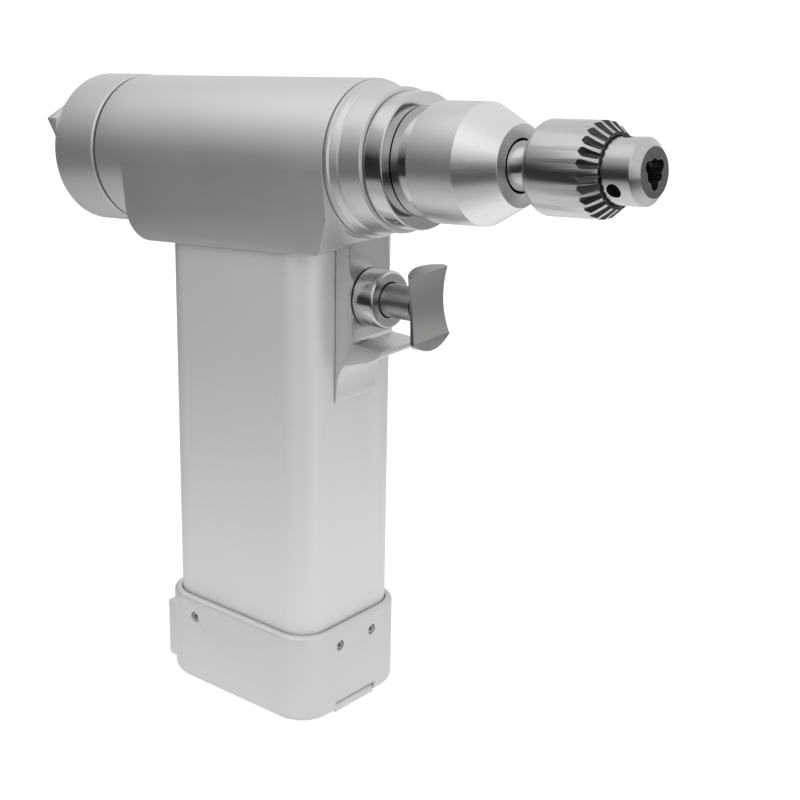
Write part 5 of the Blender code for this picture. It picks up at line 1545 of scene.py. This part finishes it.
    def build_latch(self, bench: Bench) -> None:
        """Make the hollow latch with its pin hole."""
        out = -self.half_length - self.latch_gap
        outer = out - self.latch_thick
        bottom = self.latch_bottom
        top = bottom + self.latch_height
        half = self.latch_half
        wall = self.latch_wall
        side = rounded([(out, bottom, 0.3 * MM), (out, top, 0.5 * MM),
                        (outer, top, self.latch_round), (outer, bottom, self.latch_round)],
                       steps=8)
        latch = slab("rear_latch", side, -half, half, UPRIGHT)
        plan = rounded([(out + 3 * MM, -half), (out + 3 * MM, half), (outer, half, 2.6 * MM),
                        (outer, -half, 2.6 * MM)], steps=8)
        combine(latch, slab("plan", plan, bottom - MM, top + MM), "INTERSECT")
        combine(latch, block("room", (outer + wall, -half + wall, bottom + wall),
                             (out + 2 * MM, half - wall, top - wall)))
        cross = Matrix.Translation(self.pin()) @ UPRIGHT
        reach = half - 0.6 * MM
        combine(latch, rod("pin_hole", self.pin_hole, reach, -reach, around=24, turn=cross))
        eased(latch, 0.25 * MM)
        bench.mount(latch, CASE, "latch", "rear_latch")

    def build_screws(self, bench: Bench) -> None:
        """Make the four socket screws from one screw."""
        head, socket, shank = 1.35 * MM, 0.7 * MM, 0.8 * MM
        top, floor, under = -0.5 * MM, -1.2 * MM, -1.6 * MM
        tip = under - 3.6 * MM
        screw = lathe("screw", [
            (0.0, floor), (socket, floor), (socket, top, 0.1 * MM), (head, top, 0.25 * MM),
            (head, under), (shank, under), (shank, tip), (0.0, tip)], closed=False, around=24)
        points = bpy.data.meshes.new("base_screws")
        spots = self.screw_points()
        points.from_pydata([(x, y, self.screw_z) for x, y, _ in spots], [], [])
        headings = points.attributes.new("heading", "FLOAT", "POINT")
        headings.data.foreach_set("value", [heading for _, _, heading in spots])
        screws = link("base_screws", points)
        run_nodes(screws, ScrewsOnPoints().tree(screw), {"Material": bench.material(STEEL)})
        bpy.data.objects.remove(screw)
        bench.mount(screws, STEEL, "battery", "base_screw_front_1", "base_screw_front_2",
                    "base_screw_left", "base_screw_right")


@dataclass
class InnerWorks:
    """The solids inside, which keep their shape and get their finishes."""

    gears: Sequence[str] = ("sun_gear", "ring_gear", "planet_gear_1", "planet_gear_2",
                            "planet_gear_3", "planet_pin_1", "planet_pin_2", "planet_pin_3")
    steel: Sequence[str] = ("rear_plate", "motor_can", "rotor_shaft", "spindle",
                            "chuck_nut_left", "chuck_nut_right", "trigger_spring", "latch_pin")
    races: Sequence[str] = ("rear_bearing_outer_race", "rear_bearing_inner_race",
                            "front_bearing_outer_race", "front_bearing_inner_race")
    cages: Sequence[str] = ("rear_bearing_ball_cage", "front_bearing_ball_cage")
    plastic: Sequence[str] = ("trigger_switch", "terminal_block", "battery_frame", "battery_cap")
    cells: Sequence[str] = ("battery_cell_1", "battery_cell_2", "battery_cell_3",
                            "battery_cell_4")

    def build(self, bench: Bench) -> None:
        """Dress every inner solid."""
        bench.dress(STEEL, *self.gears, *self.steel)
        bench.dress(BEARING, *self.races)
        bench.dress(BRASS, *self.cages)
        bench.dress(PLASTIC, *self.plastic)
        bench.dress(WRAP, *self.cells)
        bench.dress(COPPER, "motor_stator")
        bench.dress(MAGNET, "rotor_magnet")
        bench.dress(RUBBER, "spindle_seal", "base_gasket")
        bench.dress(BOARD, "control_board")


# Studio


@dataclass
class Studio:
    """The floor, the light and the camera."""

    place: tuple[float, float, float] = (0.342323, -0.364541, 0.271818)
    back: tuple[float, float, float] = (0.594847, -0.726202, 0.344656)
    right: tuple[float, float, float] = (0.769092, 0.638864, 0.018723)
    lens: float = 83.28
    lamp_size: float = 0.6
    floor_size: float = 3.0
    floor_drop: float = 0.05 * MM
    floor_light: float = 0.82
    floor_grey: float = 0.34
    # Grey ramps, by distance from the drill, of the glow painted on the floor for lights and
    # reflections: a painted pool of light.
    floor_glow: Sequence[Point2] = ((0.0, 0.95), (0.08, 0.75), (0.13, 0.50), (0.20, 0.44),
                                    (0.29, 0.04), (1.0, 0.03))
    floor_ahead: Sequence[Point2] = ((0.0, 0.95), (0.10, 0.92), (0.19, 0.60), (0.27, 0.36),
                                     (1.0, 0.32))
    sky_behind: Sequence[Point2] = ((0.0, 0.7), (0.5, 0.8), (1.0, 0.8))
    sky_side: Sequence[Point2] = ((0.0, 0.8), (0.45, 0.02), (0.55, 0.03), (0.60, 0.14),
                                  (0.68, 0.32), (0.75, 0.50), (0.80, 0.62), (0.84, 1.0),
                                  (1.0, 1.1))
    sky_front: Sequence[Point2] = ((0.0, 0.8), (0.45, 0.06), (0.55, 0.09), (0.60, 0.22),
                                   (0.65, 0.40), (0.70, 0.60), (0.80, 0.95), (0.88, 1.2),
                                   (1.0, 1.3))

    def build(self) -> None:
        """Make everything around the drill."""
        self.build_floor()
        self.build_world()
        self.build_lamps()
        self.build_camera()
        bpy.context.scene.view_settings.view_transform = "Standard"
        LOG.info("studio: ready")

    def build_floor(self) -> None:
        """Make the pale floor: evenly white to the camera, and to lights and reflections a painted
        glow, bright under the drill and fading away from it.
        """
        half = 0.5 * self.floor_size
        mesh = bpy.data.meshes.new("floor")
        mesh.from_pydata([(-half, -half, 0.0), (half, -half, 0.0), (half, half, 0.0),
                          (-half, half, 0.0)], [], [(0, 1, 2, 3)])
        floor = link("floor", mesh)
        floor.location.z = -self.floor_drop
        material = bpy.data.materials.new("pale_floor")
        material.use_nodes = True
        material.node_tree.nodes.clear()
        build = TreeBuilder(material.node_tree)
        place = build.node("ShaderNodeTexCoord").outputs["Object"]
        reach = build.node("ShaderNodeVectorMath", {0: place}, operation="LENGTH")
        share = build.math("DIVIDE", reach.outputs["Value"], half)
        away = build.node("ShaderNodeVectorMath", {0: place}, operation="NORMALIZE")
        side = build.toward(away.outputs["Vector"], (0.6, 0.8, 0.0), 0.0, 0.6)
        # For lights and reflections the floor glows: a painted pool of light, bright under the
        # drill and fading away from it.
        painted_glow_pool = build.node("ShaderNodeEmission", {"Color": build.mix(
            side, build.ramp(share, self.floor_glow), build.ramp(share, self.floor_ahead))})
        glow = build.node("ShaderNodeEmission", {
            "Color": WHITE, "Strength": self.floor_light})
        dim = build.node("ShaderNodeBsdfDiffuse", {
            "Color": (self.floor_grey, self.floor_grey, self.floor_grey, 1.0)})
        seen = build.node("ShaderNodeAddShader", {0: dim.outputs[0], 1: glow.outputs[0]})
        build.for_camera(seen, painted_glow_pool, "ShaderNodeOutputMaterial")
        mesh.materials.append(material)

    def build_world(self) -> None:
        """Make a soft studio sky: bright above, dim in front, white for the camera."""
        world = bpy.data.worlds.new("studio")
        bpy.context.scene.world = world
        world.use_nodes = True
        world.node_tree.nodes.clear()
        build = TreeBuilder(world.node_tree)
        heading = build.node("ShaderNodeTexCoord").outputs["Generated"]
        split = build.node("ShaderNodeSeparateXYZ", {0: heading})
        level = build.node("ShaderNodeMapRange", {
            "From Min": -1.0, "Value": split.outputs["Z"]}).outputs["Result"]
        tone = build.ramp(level, self.sky_behind)
        for stops, aim, low, high in ((self.sky_side, (-0.6, -0.75, 0.0), 0.0, 0.45),
                                      (self.sky_front, (0.25, -0.97, 0.0), 0.55, 0.95)):
            tone = build.mix(build.toward(heading, aim, low, high), tone,
                             build.ramp(level, stops))
        room = build.node("ShaderNodeBackground", {"Color": tone})
        white = build.node("ShaderNodeBackground", {"Color": WHITE})
        build.for_camera(white, room, "ShaderNodeOutputWorld")

    def build_lamps(self) -> None:
        """Make the soft lamps."""
        for name, place, power, target in (
                ("overhead_softbox", (0.0, -0.35, 0.75), 2.0, (0.0, 0.0, 0.10)),
                ("front_fill", (0.1, -0.85, 0.25), 2.5, (0.0, 0.0, 0.08)),
                ("right_fill", (0.85, -0.1, 0.25), 2.0, (0.0, 0.0, 0.08))):
            data = bpy.data.lights.new(name, "AREA")
            data.size = self.lamp_size
            data.energy = power
            lamp = bpy.data.objects.new(name, data)
            bpy.context.scene.collection.objects.link(lamp)
            lamp.location = place
            lamp.rotation_euler = (Vector(target) - Vector(place)).to_track_quat(
                "-Z", "Y").to_euler()
            lamp.visible_camera = False
            lamp.visible_glossy = False

    def build_camera(self) -> None:
        """Make the camera where the photograph was taken from."""
        data = bpy.data.cameras.new("camera")
        data.lens = self.lens
        data.sensor_width = 36.0
        data.sensor_fit = "HORIZONTAL"
        camera = bpy.data.objects.new("camera", data)
        bpy.context.scene.collection.objects.link(camera)
        back, right = Vector(self.back).normalized(), Vector(self.right).normalized()
        up = back.cross(right).normalized()
        camera.matrix_world = Matrix([
            [right[row], up[row], back[row], self.place[row]] for row in range(3)]
            + [[0.0, 0.0, 0.0, 1.0]])
        bpy.context.scene.camera = camera


def main() -> None:
    logging.basicConfig(level=logging.INFO, format="%(message)s")
    bench = Bench(Workshop.open())
    for assembly in (Housing(), SelectorKnob(), Nose(), KeyChuck(), TriggerGroup(), Handle(),
                     BatteryBase(), InnerWorks()):
        assembly.build(bench)
    Studio().build()
    bpy.context.view_layer.update()


if __name__ == "__main__":
    main()
